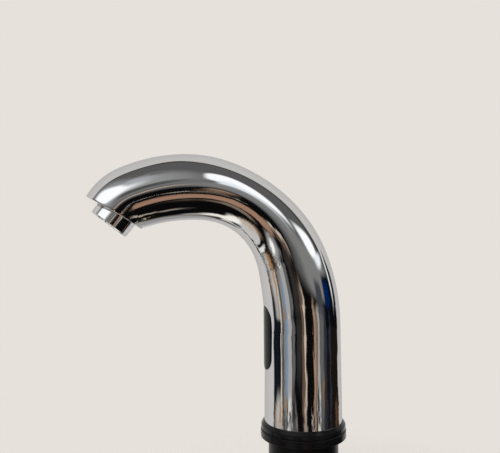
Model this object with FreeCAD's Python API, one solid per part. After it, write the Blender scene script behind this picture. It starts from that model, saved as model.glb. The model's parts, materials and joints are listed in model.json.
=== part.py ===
import FreeCAD, Part
import math
import os

# Deck-mounted sensor tap: a chromed swan-neck spout on a black base ring, with an infrared
# sensor in the column and a solenoid valve in the mounting shank.
# Millimetres. The origin is the centre of the base ring's underside, where it meets the deck.
# +Z is up, and the spout reaches towards -X.

V = FreeCAD.Vector
UP = V(0, 0, 1)

# ---- driving dimensions -------------------------------------------------------------------

# clearances
PRESS_GAP = 0.05        # parts pressed, screwed or glued together
SLIDE_GAP = 0.10        # parts that turn or slide in each other
LOOSE_GAP = 0.30        # parts that only pass each other
OVERCUT = 5.0           # how far a cutting tool runs past the face that it opens

# spout tube, along its centre line
COLUMN_RADIUS = 23.2    # at the top of the straight column
WAIST_RADIUS = 18.15    # the slimmest place, at the top of the bend
HEAD_RADIUS = 19.3      # the fullest place of the arm
NOSE_RADIUS = 17.9      # at the outlet face
SPOUT_WALL = 2.2
COLUMN_HEIGHT = 65.3    # straight, above the deck
LEAD_RADIUS = 137.7     # four bends, each to its radius, and the degrees it turns
LEAD_TURN = 17.0
MAIN_RADIUS = 65.7
MAIN_TURN = 72.0
ARM_RADIUS = 91.3
ARM_TURN = 22.4
NOSE_BEND_RADIUS = 20.9
NOSE_TURN = 37.4
TAPER_START = 11.5      # along the bends, where the tube begins to narrow
TAPER_END = 91.0        # where it reaches the waist
HEAD_PLACE = 129.3      # where it is fullest
SECTION_STEP = 20.0     # greatest spacing of the sections that shape the tube
SECTION_TURN = 18.0     # and greatest turn between them, in degrees
FACE_ROUND = 0.5        # rounding of the tube's end

# outlet face
OUTLET_SETBACK = 1.75   # from the centre line to the outlet's axis, down the face
OUTLET_TILT = 38.0      # degrees of the water's path from plumb
COLLAR_RECESS = 3.0     # depth of the counterbore round the aerator
THREAD_DEPTH = 8.0      # of the aerator's thread, above the face
OUTLET_FLOOR = 2.0      # metal left above the thread

# aerator
COLLAR_RADIUS = 12.0
COLLAR_DROP = 7.4       # how far it stands out of the face, on its axis
AERATOR_THREAD = 10.95  # M22 thread, outside radius
AERATOR_WALL = 1.0
AERATOR_LIP = 1.2
GASKET_THICK = 0.95
SCREEN_THICK = 2.0
CELL_PITCH = 2.6        # honeycomb of the outlet screen
CELL_WALL = 0.5
CELL_ROWS = 3           # rings of cells round the middle one
JETS = 12               # holes in the cartridge's head
JET_CIRCLE = 5.3
JET_RADIUS = 0.5

# base ring: a flange on the deck and a gasket under the spout
FLANGE_STEP = 0.4       # beyond the gasket
FLANGE_HEIGHT = 4.7
GASKET_LIP = 1.8        # wall round the spout's foot
GASKET_HEIGHT = 4.9     # above the flange
GASKET_SEAT = 2.5       # thickness under the spout
GASKET_SHOULDER = 1.9   # height of the sloping shoulder
BEAD_GROOVE = 0.4       # height and depth of the line between the two
EDGE = 0.5              # small bevels and rounds
SEAL_WIRE = 2.1         # section of the sealing ring under the flange
WIRE_SIDES = 8          # sides that the sections of thin rings and wire are drawn with

# shank
SHANK_RADIUS = 21.4
SHANK_LENGTH = 68.0     # below the deck
SHANK_WALL = 4.6
BORE_STEP = 0.5         # narrower bore above the valve
SHANK_SMOOTH = 12.0     # plain length below the deck
THREAD_STEP = 0.4       # the M42 thread is this much less in radius
SPIGOT_STEP = 2.4       # and the end that screws into the spout's foot this much
SPIGOT_LENGTH = 9.0
FOOT_STEP = 2.6         # from the shank's radius out to the spout's foot
FOOT_LENGTH = 11.0      # the threaded insert in the spout's foot

# clamping parts, for a deck of this thickness
DECK_THICK = 21.0
RUBBER_WIDTH = 6.3
RUBBER_THICK = 3.0
STEEL_WIDTH = 5.3
STEEL_THICK = 1.5
NUT_WALL = 6.0          # from the thread to the flats
NUT_HEIGHT = 8.0

# inlet end
PLUG_HEIGHT = 8.0
RING_THICK = 1.5        # spring ring under the plug
RING_DEPTH = 1.0        # of its groove
RING_WIDTH = 2.6
RING_OPENING = 40.0     # degrees
PLUG_INSET = 4.0        # plug's face above the end of the shank
INLET_X = -5.0
INLET_THREAD = 10.48    # G1/2 thread, outside radius
INLET_THREAD_LENGTH = 12.0
INLET_COLLAR = 9.5      # plain collar under the plug
INLET_FLATS = 22.0
INLET_HEX = 6.0         # below the end of the shank
INLET_NECK = 1.5        # plain length between the hexagon and the thread
INLET_SPIGOT = 7.9
INLET_SPIGOT_REACH = 7.0    # into the valve
INLET_BORE = 5.5
INLET_RING_WIRE = 1.1   # of its sealing ring
STRAINER_WALL = 0.6
STRAINER_LENGTH = 13.0
STRAINER_FLANGE = 7.4
STRAINER_FLANGE_THICK = 1.0
STRAINER_SLOTS = 8
SLOT_WIDTH = 1.2
CABLE_TURN = 40.0       # the lead's way down beside the valve, from +X
CABLE_BORE = 2.1        # for a lead 4 mm thick
GROMMET_RADIUS = 3.0
GROMMET_FLANGE = 3.5
GROMMET_FLANGE_THICK = 1.5

# valve
VALVE_HEIGHT = 25.8
BONNET_HEIGHT = 6.2
RIM_WALL = 1.35         # outside the diaphragm's rim
PORT_DEPTH = 9.0
SEAT_BORE = 3.6
SEAT_RADIUS = 5.0
CHAMBER_RADIUS = 8.0
CHAMBER_DEPTH = 5.8
SEAT_DROP = 1.8         # seat below the joint with the bonnet
RIM_RADIUS = 8.7        # of the diaphragm
RIM_THICK = 1.2
CORE_PAD = 4.75
CORE_PAD_THICK = 1.15
CORE_BOSS = 3.0
CORE_TOP = 1.2          # its boss above the joint with the bonnet
PILOT_BORE = 0.5
PASSAGE_RADIUS = 1.3
PASSAGE_TURN = 80.0     # degrees round the seat
CROSSWAY_RADIUS = 3.0   # bore from the seat to the water tube
CROSSWAY_DROP = 10.8    # its axis below the joint with the bonnet
PILOT_CHAMBER = 6.5
PILOT_HEIGHT = 1.8
WEB_GAP = 0.15          # between the diaphragm's rubber and its stiff middle
LEAD_SLOT = 2.3         # half the width of the slot for the lead
BOLT_RADIUS = 1.5
BOLT_HEAD = 2.7
BOLT_HEAD_HEIGHT = 2.0
BOLT_WALL = 0.5         # outside the screws' heads
BOLT_TURNS = (65.0, 115.0, 245.0, 295.0)
BOLT_REACH = 9.0        # into the valve body

# solenoid
CORE_TUBE_RADIUS = 5.0
CORE_TUBE_FLANGE = 6.3
CORE_TUBE_FLANGE_THICK = 1.0
PLUNGER_RADIUS = 4.2
PLUNGER_LENGTH = 14.9
PLUNGER_LIFT = 1.5
SPRING_POCKET = 2.8
SPRING_POCKET_DEPTH = 6.0
SPRING_RADIUS = 2.2
SPRING_WIRE = 0.5
SPRING_TURNS = 6
COIL_RADIUS = 9.4
COIL_HEIGHT = 17.0
STRAP = 1.2             # thickness of the steel frame round the coil
STRAP_WIDTH = 10.0
STUD_RADIUS = 2.5
STUD_LENGTH = 4.0
COIL_NUT_FLATS = 8.0
COIL_NUT_HEIGHT = 3.0

# water tube
TUBE_RADIUS = 4.0
TUBE_WALL = 0.8
TUBE_OFFSET = 9.0       # from the centre line, towards the outside of the bend
TUBE_ENTRY = 5.8        # into the valve
TUBE_PUSH = 10.0        # straight length pushed into the outlet adapter

# outlet adapter
ADAPTER_FLANGE = 8.5
ADAPTER_FLANGE_THICK = 2.0
ADAPTER_SPIGOT = 5.9
ADAPTER_BORE = 3.2
ADAPTER_SOCKET = 6.4    # outside radius round the tube
ADAPTER_SOCKET_LENGTH = 8.0
ADAPTER_STEP = 1.0      # shoulder that stops the tube
O_RING_WIRE = 1.3

# sensor
WINDOW_LOW = 41.8
WINDOW_HIGH = 80.4
WINDOW_WIDTH = 14.8
WINDOW_PROUD = 0.7
WINDOW_GAP = 0.1
WINDOW_RIM = 1.5        # flange of the lens, beyond the opening
WINDOW_FLANGE_THICK = 1.5
CASE_DEPTH = 9.6
CASE_WALL = 1.2
CASE_MARGIN = 0.6       # beyond the lens flange, at each end
BOARD_THICK = 1.6
BOARD_INSET = 2.4       # from the case's back
EYE_RADIUS = 2.5
EYE_SPACING = 20.0
EYE_GAP = 0.5           # from the lens
BRACKET_THICK = 1.2
BRACKET_HEIGHT = 12.0
BRACKET_END = 0.8       # from the bracket's ends to the column's wall
BOSS_RADIUS = 2.8
BRACKET_SCREW = 1.25
BRACKET_SCREW_REACH = 5.0
BRACKET_HEAD = 2.4
BRACKET_HEAD_HEIGHT = 1.8

# ---- places worked out from them ----------------------------------------------------------

spigot_radius = SHANK_RADIUS - SPIGOT_STEP
thread_radius = SHANK_RADIUS - THREAD_STEP
foot_radius = SHANK_RADIUS + FOOT_STEP
gasket_radius = foot_radius + GASKET_LIP
flange_radius = gasket_radius + FLANGE_STEP
seal_radius = (SHANK_RADIUS + flange_radius) / 2
shank_bore = SHANK_RADIUS - SHANK_WALL
valve_radius = shank_bore - 2 * SLIDE_GAP
valve_x = RIM_WALL + RIM_RADIUS + PRESS_GAP - valve_radius      # axis of the seat, the plunger and the coil
bolt_circle = valve_radius - BOLT_WALL - BOLT_HEAD
washer_bore = SHANK_RADIUS + LOOSE_GAP
nut_flats = 2 * (thread_radius + NUT_WALL)
gasket_low = FLANGE_HEIGHT
gasket_top = gasket_low + GASKET_HEIGHT
spout_foot = gasket_low + GASKET_SEAT
foot_bore = foot_radius - SPOUT_WALL
shank_foot = -SHANK_LENGTH
plug_low = shank_foot + PLUG_INSET
plug_top = plug_low + PLUG_HEIGHT
valve_low = plug_top
valve_top = valve_low + VALVE_HEIGHT
bonnet_top = valve_top + BONNET_HEIGHT
seat_top = valve_top - SEAT_DROP
core_top = valve_top + CORE_TOP
tube_low = valve_top - TUBE_ENTRY
plunger_low = core_top + SLIDE_GAP
plunger_top = plunger_low + PLUNGER_LENGTH
fixed_core_low = plunger_top + PLUNGER_LIFT + LOOSE_GAP
core_tube_low = valve_top + PILOT_HEIGHT
frame_low = bonnet_top
coil_low = frame_low + STRAP
coil_top = coil_low + COIL_HEIGHT
frame_top = coil_top + STRAP
outlet_depth = THREAD_DEPTH + OUTLET_FLOOR      # from the face to the floor of the spout's hollow
column_bore = COLUMN_RADIUS - SPOUT_WALL
window_middle = (WINDOW_LOW + WINDOW_HIGH) / 2
lens_front = LOOSE_GAP - math.sqrt(column_bore ** 2 - (WINDOW_WIDTH / 2 + WINDOW_RIM) ** 2)     # its flange
lens_back = lens_front + WINDOW_FLANGE_THICK
case_back = lens_back + CASE_DEPTH
bracket_half = math.sqrt(column_bore ** 2 - case_back ** 2) - BRACKET_END
boss_y = bracket_half - BOSS_RADIUS
ring_bore = shank_bore + RING_DEPTH - RING_WIDTH
cable_circle = ring_bore - LOOSE_GAP - GROMMET_FLANGE
cable_x = cable_circle * math.cos(math.radians(CABLE_TURN))
cable_y = cable_circle * math.sin(math.radians(CABLE_TURN))
bends = (
    (LEAD_RADIUS, LEAD_TURN),
    (MAIN_RADIUS, MAIN_TURN),
    (ARM_RADIUS, ARM_TURN),
    (NOSE_BEND_RADIUS, NOSE_TURN),
)


# ---- small helpers ------------------------------------------------------------------------

def rod(radius, low, high, x=0.0, y=0.0):
    """An upright cylinder between two heights."""
    return Part.makeCylinder(radius, high - low, V(x, y, low))


def pipe(outer, inner, low, high, x=0.0, y=0.0):
    """An upright tube between two heights."""
    return rod(outer, low, high, x, y).cut(rod(inner, low - OVERCUT, high + OVERCUT, x, y))


def turned(outline):
    """A solid of revolution about Z, from (radius, height) corners."""
    corners = [V(r, 0, z) for r, z in outline]
    face = Part.Face(Part.makePolygon(corners + corners[:1]))
    return face.revolve(V(0, 0, 0), UP, 360)


def hexagon(flats, low, high, x=0.0):
    """An upright hexagonal prism with flats square to X."""
    corner = flats / 2 / math.cos(math.radians(30))
    turns = [math.radians(30 + 60 * i) for i in range(6)]
    points = [V(x + corner * math.cos(t), corner * math.sin(t), low) for t in turns]
    return Part.Face(Part.makePolygon(points + points[:1])).extrude(UP * (high - low))


def crossbar(radius, x_low, x_high, y, z):
    """A cylinder along X."""
    return Part.makeCylinder(radius, x_high - x_low, V(x_low, y, z), V(1, 0, 0))


def block(x_low, x_high, half_width, z_low, z_high):
    """A box centred on the plane Y = 0."""
    return Part.makeBox(x_high - x_low, 2 * half_width, z_high - z_low, V(x_low, -half_width, z_low))


def o_ring(radius, wire, z):
    """A rubber ring with a level centre line, its section drawn with a few sides, flat above and below."""
    reach = wire / 2 / math.cos(math.pi / WIRE_SIDES)
    turns = [math.pi * (2 * i + 1) / WIRE_SIDES for i in range(WIRE_SIDES)]
    return turned([(radius + reach * math.cos(t), z + reach * math.sin(t)) for t in turns])


def stadium(x_low, x_high, width, z_low, z_high):
    """An upright slot shape with round ends, extruded along X."""
    r = width / 2
    middle = block(x_low, x_high, r, z_low + r, z_high - r)
    ends = [crossbar(r, x_low, x_high, 0, z) for z in (z_low + r, z_high - r)]
    return middle.fuse(ends).removeSplitter()


# ---- the centre line of the spout ---------------------------------------------------------

def travel(turn):
    """The direction along the tube, once it has turned this many degrees from upright."""
    a = math.radians(turn)
    return V(-math.sin(a), 0, math.cos(a))


def outside(turn):
    """The direction square to the tube, towards the outside of the bends."""
    a = math.radians(turn)
    return V(math.cos(a), 0, math.sin(a))


def bend_centres():
    """For each bend: its centre, its radius, and the turn at its start and end."""
    found = []
    point = V(0, 0, COLUMN_HEIGHT)
    turn = 0.0
    for radius, degrees in bends:
        centre = point - outside(turn) * radius
        found.append((centre, radius, turn, turn + degrees))
        turn += degrees
        point = centre + outside(turn) * radius
    return found


def bends_length():
    return sum(radius * math.radians(degrees) for radius, degrees in bends)


def face_middle():
    """Where the centre line ends, at the outlet face, and the turn there."""
    centre, radius, _, end = bend_centres()[-1]
    return centre + outside(end) * radius, end


def tube_radius(length):
    """The outside radius of the tube at a length along the bends: two eased tapers and a rounded nose."""
    def ease(start, end, share):
        return start + (end - start) * share

    if length <= TAPER_START:
        return COLUMN_RADIUS
    if length <= TAPER_END:
        share = (length - TAPER_START) / (TAPER_END - TAPER_START)
        return ease(COLUMN_RADIUS, WAIST_RADIUS, (1 - math.cos(math.pi * share)) / 2)
    if length <= HEAD_PLACE:
        share = (length - TAPER_END) / (HEAD_PLACE - TAPER_END)
        return ease(WAIST_RADIUS, HEAD_RADIUS, (1 - math.cos(math.pi * share)) / 2)
    share = (length - HEAD_PLACE) / (bends_length() - HEAD_PLACE)
    return ease(HEAD_RADIUS, NOSE_RADIUS, 1 - math.cos(math.pi / 2 * share))


def section(point, turn, radius):
    """A circle square to the centre line, starting on the outside of the bend."""
    circle = Part.makeCircle(radius)
    circle.rotate(V(0, 0, 0), V(0, 1, 0), -turn)
    circle.translate(point)
    return Part.Wire(circle)


def spout_form(inset, low):
    """The spout's outer form, or its hollow when inset by the wall, from a height upwards."""
    share = (low - spout_foot) / (COLUMN_HEIGHT - spout_foot)
    low_radius = foot_radius + (COLUMN_RADIUS - foot_radius) * share
    cone = Part.makeCone(low_radius - inset, COLUMN_RADIUS - inset, COLUMN_HEIGHT - low, V(0, 0, low))
    sections = [section(V(0, 0, COLUMN_HEIGHT), 0, COLUMN_RADIUS - inset)]
    length = 0.0
    for centre, radius, start, end in bend_centres():
        run = radius * math.radians(end - start)
        count = math.ceil(max(run / SECTION_STEP, (end - start) / SECTION_TURN))
        for i in range(1, count + 1):
            turn = start + (end - start) * i / count
            point = centre + outside(turn) * radius
            sections.append(section(point, turn, tube_radius(length + run * i / count) - inset))
        length += run
    return cone.fuse(Part.makeLoft(sections, True, False))


# ---- the outlet's own axis ----------------------------------------------------------------

def outlet_frame():
    """Where the outlet's axis meets the face, and the way along it into the spout."""
    middle, turn = face_middle()
    return middle - outside(turn) * OUTLET_SETBACK, travel(180 - OUTLET_TILT) * -1


def on_outlet(shape):
    """Carries a shape made about Z to the outlet: Z = 0 goes to the face, and +Z into the spout."""
    point, _ = outlet_frame()
    shape.rotate(V(0, 0, 0), V(0, 1, 0), OUTLET_TILT)
    shape.translate(point)
    return shape


def below_outlet_floor():
    """A block that keeps the spout's hollow away from the threaded end."""
    size = 4 * foot_radius
    return on_outlet(Part.makeBox(size, size, size, V(-size / 2, -size / 2, outlet_depth - size)))


# ---- spout --------------------------------------------------------------------------------

def face_edge(form):
    """The round edge of the outlet face."""
    middle, _ = face_middle()

    def misfit(edge):
        return (edge.CenterOfMass - middle).Length + abs(edge.Length - 2 * math.pi * NOSE_RADIUS)

    return min(form.Edges, key=misfit)


def spout_body():
    """The chromed casting: hollow, with the sensor's window, two bosses for its bracket and a solid end."""
    outer = spout_form(0, spout_foot)
    outer = outer.makeFillet(FACE_ROUND, [face_edge(outer)])
    hollow = spout_form(SPOUT_WALL, spout_foot).cut(below_outlet_floor())
    mouth = rod(foot_bore, spout_foot - OVERCUT, spout_foot)
    body = outer.cut(hollow.fuse(mouth))
    left = crossbar(BOSS_RADIUS, -foot_radius, case_back, boss_y, window_middle)
    right = crossbar(BOSS_RADIUS, -foot_radius, case_back, -boss_y, window_middle)
    bosses = [left, right]
    body = body.fuse([boss.common(outer) for boss in bosses])
    for side in (1, -1):
        tapped = crossbar(BRACKET_SCREW, case_back - BRACKET_SCREW_REACH - LOOSE_GAP, case_back + OVERCUT,
                          side * boss_y, window_middle)
        body = body.cut(tapped)
    window = stadium(-2 * foot_radius, lens_back, WINDOW_WIDTH, WINDOW_LOW, WINDOW_HIGH)
    recess = rod(COLLAR_RADIUS + LOOSE_GAP, -2 * OVERCUT, COLLAR_RECESS)
    thread = rod(AERATOR_THREAD + SLIDE_GAP, -OVERCUT, THREAD_DEPTH)
    way_in = rod(ADAPTER_SPIGOT + PRESS_GAP, 0, outlet_depth + OVERCUT)
    return body.cut(window).cut(on_outlet(recess.fuse([thread, way_in])))


def foot_insert():
    """The threaded brass ring that is soldered into the spout's foot."""
    top = spout_foot + FOOT_LENGTH
    share = FOOT_LENGTH / (COLUMN_HEIGHT - spout_foot)
    top_radius = foot_bore + (COLUMN_RADIUS - foot_radius) * share
    shell = Part.makeCone(foot_bore - PRESS_GAP, top_radius - PRESS_GAP, FOOT_LENGTH, V(0, 0, spout_foot))
    return shell.cut(rod(spigot_radius + PRESS_GAP, spout_foot - OVERCUT, top + OVERCUT))


# ---- base ring ----------------------------------------------------------------------------

def base_flange():
    """The black ring on the deck, with a groove beneath for the sealing ring."""
    inner = SHANK_RADIUS + PRESS_GAP
    body = turned([
        (inner, 0), (flange_radius - EDGE, 0), (flange_radius, EDGE),
        (flange_radius, FLANGE_HEIGHT - EDGE), (flange_radius - EDGE, FLANGE_HEIGHT), (inner, FLANGE_HEIGHT),
    ])
    half = SEAL_WIRE / 2 + PRESS_GAP
    return body.cut(pipe(seal_radius + half, seal_radius - half, -OVERCUT, SEAL_WIRE + PRESS_GAP))


def deck_seal():
    """The rubber ring in that groove, level with the flange's underside."""
    return o_ring(seal_radius, SEAL_WIRE, SEAL_WIRE / 2)


def base_gasket():
    """The black gasket that the spout stands in, with a bead, a line below it and a sloping shoulder."""
    inner = SHANK_RADIUS + PRESS_GAP
    lip = foot_radius + PRESS_GAP
    line = gasket_radius - BEAD_GROOVE
    shoulder = gasket_top - GASKET_SHOULDER
    return turned([
        (inner, gasket_low), (line, gasket_low), (line, gasket_low + BEAD_GROOVE),
        (gasket_radius, gasket_low + 2 * BEAD_GROOVE), (gasket_radius, shoulder),
        (gasket_radius - EDGE, shoulder + EDGE), (lip + EDGE, gasket_top), (lip, gasket_top),
        (lip, spout_foot), (inner, spout_foot),
    ])


# ---- shank and clamping parts -------------------------------------------------------------

def mounting_shank():
    """The black tube through the deck: screwed into the spout above, threaded for the nut below."""
    spigot_top = spout_foot + SPIGOT_LENGTH
    outer = turned([
        (0, shank_foot), (thread_radius - EDGE, shank_foot), (thread_radius, shank_foot + EDGE),
        (thread_radius, -SHANK_SMOOTH), (SHANK_RADIUS, -SHANK_SMOOTH), (SHANK_RADIUS, spout_foot),
        (spigot_radius, spout_foot), (spigot_radius, spigot_top), (0, spigot_top),
    ])
    lower = rod(shank_bore, shank_foot - OVERCUT, bonnet_top)
    upper = rod(shank_bore - BORE_STEP, bonnet_top, spigot_top + OVERCUT)
    groove = rod(shank_bore + RING_DEPTH, plug_low - RING_THICK - PRESS_GAP, plug_low)
    return outer.cut(lower.fuse([upper, groove]))


def rubber_washer():
    return pipe(washer_bore + RUBBER_WIDTH, washer_bore, -DECK_THICK - RUBBER_THICK, -DECK_THICK)


def steel_washer():
    top = -DECK_THICK - RUBBER_THICK
    return pipe(washer_bore + STEEL_WIDTH, washer_bore, top - STEEL_THICK, top)


def back_nut():
    """The large hexagon nut, chamfered at both ends."""
    top = -DECK_THICK - RUBBER_THICK - STEEL_THICK - PRESS_GAP
    low = top - NUT_HEIGHT
    corner = nut_flats / 2 / math.cos(math.radians(30))
    flat = nut_flats / 2
    bevel = (corner - flat) / 2
    envelope = turned([
        (0, low), (flat, low), (corner, low + bevel),
        (corner, top - bevel), (flat, top), (0, top),
    ])
    nut = hexagon(nut_flats, low, top).common(envelope)
    return nut.cut(rod(thread_radius + PRESS_GAP, low - OVERCUT, top + OVERCUT))


# ---- inlet end ----------------------------------------------------------------------------

def inlet_plug():
    """The disc that closes the shank, with holes for the inlet and the lead."""
    disc = rod(shank_bore - PRESS_GAP, plug_low, plug_top)
    inlet = rod(INLET_SPIGOT + PRESS_GAP, plug_low - OVERCUT, plug_top + OVERCUT, INLET_X)
    lead = rod(GROMMET_RADIUS + PRESS_GAP, plug_low - OVERCUT, plug_top + OVERCUT, cable_x, cable_y)
    return disc.cut(inlet.fuse(lead))


def retaining_ring():
    """The open spring ring that holds the plug up."""
    outer = shank_bore + RING_DEPTH - PRESS_GAP
    ring = pipe(outer, ring_bore, plug_low - RING_THICK, plug_low)
    half = math.radians(RING_OPENING / 2)
    reach = 2 * SHANK_RADIUS
    corners = [
        V(0, 0, plug_low - OVERCUT),
        V(reach * math.sin(-half), reach * math.cos(half), plug_low - OVERCUT),
        V(reach * math.sin(half), reach * math.cos(half), plug_low - OVERCUT),
    ]
    wedge = Part.Face(Part.makePolygon(corners + corners[:1])).extrude(UP * 2 * OVERCUT)
    return ring.cut(wedge)


def inlet_levels():
    """Heights of the inlet fitting: its end, its thread's top, the underside of the hexagon, and its tip."""
    hex_low = shank_foot - LOOSE_GAP - INLET_HEX
    thread_top = hex_low - INLET_NECK
    return thread_top - INLET_THREAD_LENGTH, thread_top, hex_low, valve_low + INLET_SPIGOT_REACH


def inlet_nipple():
    """The brass inlet: hose thread below, hexagon, collar under the plug, and a spigot into the valve."""
    end, thread_top, hex_low, tip = inlet_levels()
    thread = turned([
        (0, end), (INLET_THREAD - EDGE, end), (INLET_THREAD, end + EDGE),
        (INLET_THREAD, thread_top), (0, thread_top),
    ])
    thread.translate(V(INLET_X, 0, 0))
    neck = rod(INLET_THREAD - 2 * EDGE, thread_top, hex_low, INLET_X)
    nut = hexagon(INLET_FLATS, hex_low, hex_low + INLET_HEX, INLET_X)
    collar = rod(INLET_COLLAR, hex_low + INLET_HEX, plug_low, INLET_X)
    spigot = rod(INLET_SPIGOT, plug_low, tip, INLET_X)
    fitting = nut.fuse([thread, neck, collar, spigot]).removeSplitter()
    bore = rod(INLET_BORE, end - OVERCUT, tip + OVERCUT, INLET_X)
    seat = rod(STRAINER_FLANGE + PRESS_GAP, end - OVERCUT, end + STRAINER_FLANGE_THICK + PRESS_GAP, INLET_X)
    middle = tip - INLET_SPIGOT_REACH / 2
    half = INLET_RING_WIRE / 2 + PRESS_GAP
    groove = pipe(INLET_SPIGOT + OVERCUT, INLET_SPIGOT - INLET_RING_WIRE,
                  middle - half, middle + half, INLET_X)
    return fitting.cut(bore.fuse([seat, groove]))


def inlet_o_ring():
    _, _, _, tip = inlet_levels()
    ring = o_ring(INLET_SPIGOT - INLET_RING_WIRE / 2, INLET_RING_WIRE, tip - INLET_SPIGOT_REACH / 2)
    ring.translate(V(INLET_X, 0, 0))
    return ring


def inlet_strainer():
    """The slotted cup that keeps grit out of the valve."""
    end, _, _, _ = inlet_levels()
    low = end + PRESS_GAP
    radius = INLET_BORE - SLIDE_GAP
    cup = rod(radius, low, low + STRAINER_LENGTH, INLET_X)
    flange = rod(STRAINER_FLANGE, low, low + STRAINER_FLANGE_THICK, INLET_X)
    hollow = rod(radius - STRAINER_WALL, low - OVERCUT, low + STRAINER_LENGTH - STRAINER_WALL, INLET_X)
    strainer = cup.fuse(flange).cut(hollow)
    slot_low = low + 2 * STRAINER_FLANGE_THICK
    slot_high = low + STRAINER_LENGTH - 2 * STRAINER_WALL
    for i in range(STRAINER_SLOTS // 2):
        slot = block(-2 * INLET_BORE, 2 * INLET_BORE, SLOT_WIDTH / 2, slot_low, slot_high)
        slot.rotate(V(0, 0, 0), UP, 360 / STRAINER_SLOTS * i)
        slot.translate(V(INLET_X, 0, 0))
        strainer = strainer.cut(slot)
    return strainer


def cable_grommet():
    """The rubber bush where the sensor's lead leaves."""
    low = plug_low - GROMMET_FLANGE_THICK
    body = rod(GROMMET_RADIUS, plug_low, plug_top, cable_x, cable_y)
    flange = rod(GROMMET_FLANGE, low, plug_low, cable_x, cable_y)
    return body.fuse(flange).cut(rod(CABLE_BORE, low - OVERCUT, plug_top + OVERCUT, cable_x, cable_y))


# ---- valve --------------------------------------------------------------------------------

def bolt_places():
    turns = [math.radians(turn) for turn in BOLT_TURNS]
    return [(bolt_circle * math.cos(turn), bolt_circle * math.sin(turn)) for turn in turns]


def lead_slot(low, high):
    """The open slot beside the valve that the lead comes down."""
    way_out = block(cable_circle, valve_radius + OVERCUT, LEAD_SLOT, low, high)
    slot = rod(LEAD_SLOT, low, high, cable_circle).fuse(way_out)
    slot.rotate(V(0, 0, 0), UP, CABLE_TURN)
    return slot


def valve_body():
    """The lower valve half: inlet port, ring chamber, seat, and the bore across to the water tube."""
    body = rod(valve_radius, valve_low, valve_top)
    port = rod(INLET_SPIGOT + PRESS_GAP, valve_low - OVERCUT, valve_low + PORT_DEPTH, INLET_X)
    rim = rod(RIM_RADIUS + PRESS_GAP, valve_top - RIM_THICK, valve_top + OVERCUT, valve_x)
    chamber = pipe(CHAMBER_RADIUS, SEAT_RADIUS, valve_top - CHAMBER_DEPTH, valve_top, valve_x)
    above_seat = rod(SEAT_RADIUS + PRESS_GAP, seat_top, valve_top, valve_x)
    crossway_z = valve_top - CROSSWAY_DROP
    seat = rod(SEAT_BORE, crossway_z, valve_top, valve_x)
    crossway = crossbar(CROSSWAY_RADIUS, valve_x, TUBE_OFFSET, 0, crossway_z)
    riser = rod(CROSSWAY_RADIUS, crossway_z, tube_low, TUBE_OFFSET)
    tube = rod(TUBE_RADIUS + PRESS_GAP, tube_low, valve_top + OVERCUT, TUBE_OFFSET)
    slot = lead_slot(valve_low - OVERCUT, valve_top + OVERCUT)
    cuts = [port, rim, chamber, above_seat, seat, crossway, riser, tube, slot]
    passage_circle = (SEAT_RADIUS + CHAMBER_RADIUS) / 2
    turn = math.radians(PASSAGE_TURN)
    for side in (1, -1):
        x = valve_x + passage_circle * math.cos(turn)
        y = side * passage_circle * math.sin(turn)
        cuts.append(rod(PASSAGE_RADIUS, valve_low + PORT_DEPTH - PASSAGE_RADIUS,
                        valve_top - CHAMBER_DEPTH + PASSAGE_RADIUS, x, y))
    for x, y in bolt_places():
        cuts.append(rod(BOLT_RADIUS, valve_top - BOLT_REACH - LOOSE_GAP, valve_top + OVERCUT, x, y))
    for cut in cuts:
        body = body.cut(cut)
    return body


def diaphragm():
    """The rubber ring of the diaphragm, clamped under the bonnet."""
    return pipe(RIM_RADIUS, CORE_PAD + WEB_GAP, valve_top - RIM_THICK, valve_top, valve_x)


def diaphragm_core():
    """The stiff middle of the diaphragm, which lifts off the seat."""
    low = seat_top + PRESS_GAP
    pad = rod(CORE_PAD, low, low + CORE_PAD_THICK, valve_x)
    boss = rod(CORE_BOSS, low, core_top, valve_x)
    return pad.fuse(boss).removeSplitter().cut(rod(PILOT_BORE, low - OVERCUT, core_top + OVERCUT, valve_x))


def valve_bonnet():
    """The upper valve half, which clamps the diaphragm and carries the solenoid."""
    body = rod(valve_radius, valve_top, bonnet_top)
    pilot = rod(PILOT_CHAMBER, valve_top - OVERCUT, core_tube_low + CORE_TUBE_FLANGE_THICK, valve_x)
    socket = rod(CORE_TUBE_RADIUS + PRESS_GAP, valve_top, bonnet_top + OVERCUT, valve_x)
    tube = rod(TUBE_RADIUS + PRESS_GAP, valve_top - OVERCUT, bonnet_top + OVERCUT, TUBE_OFFSET)
    body = body.cut(pilot).cut(socket).cut(tube).cut(lead_slot(valve_top - OVERCUT, bonnet_top + OVERCUT))
    for x, y in bolt_places():
        body = body.cut(rod(BOLT_RADIUS + PRESS_GAP, valve_top - OVERCUT, bonnet_top + OVERCUT, x, y))
        body = body.cut(rod(BOLT_HEAD + PRESS_GAP, bonnet_top - BOLT_HEAD_HEIGHT, bonnet_top + OVERCUT, x, y))
    return body


def bonnet_screws():
    """Four screws with sunk heads."""
    screws = []
    for x, y in bolt_places():
        head_low = bonnet_top - BOLT_HEAD_HEIGHT
        head = rod(BOLT_HEAD, head_low, bonnet_top, x, y)
        socket = hexagon(BOLT_HEAD, bonnet_top - BOLT_HEAD_HEIGHT / 2, bonnet_top + OVERCUT)
        socket.translate(V(x, y, 0))
        stem = rod(BOLT_RADIUS - PRESS_GAP, valve_top - BOLT_REACH, head_low, x, y)
        screws.append(head.fuse(stem).cut(socket))
    return Part.makeCompound(screws)


# ---- solenoid -----------------------------------------------------------------------------

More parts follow.
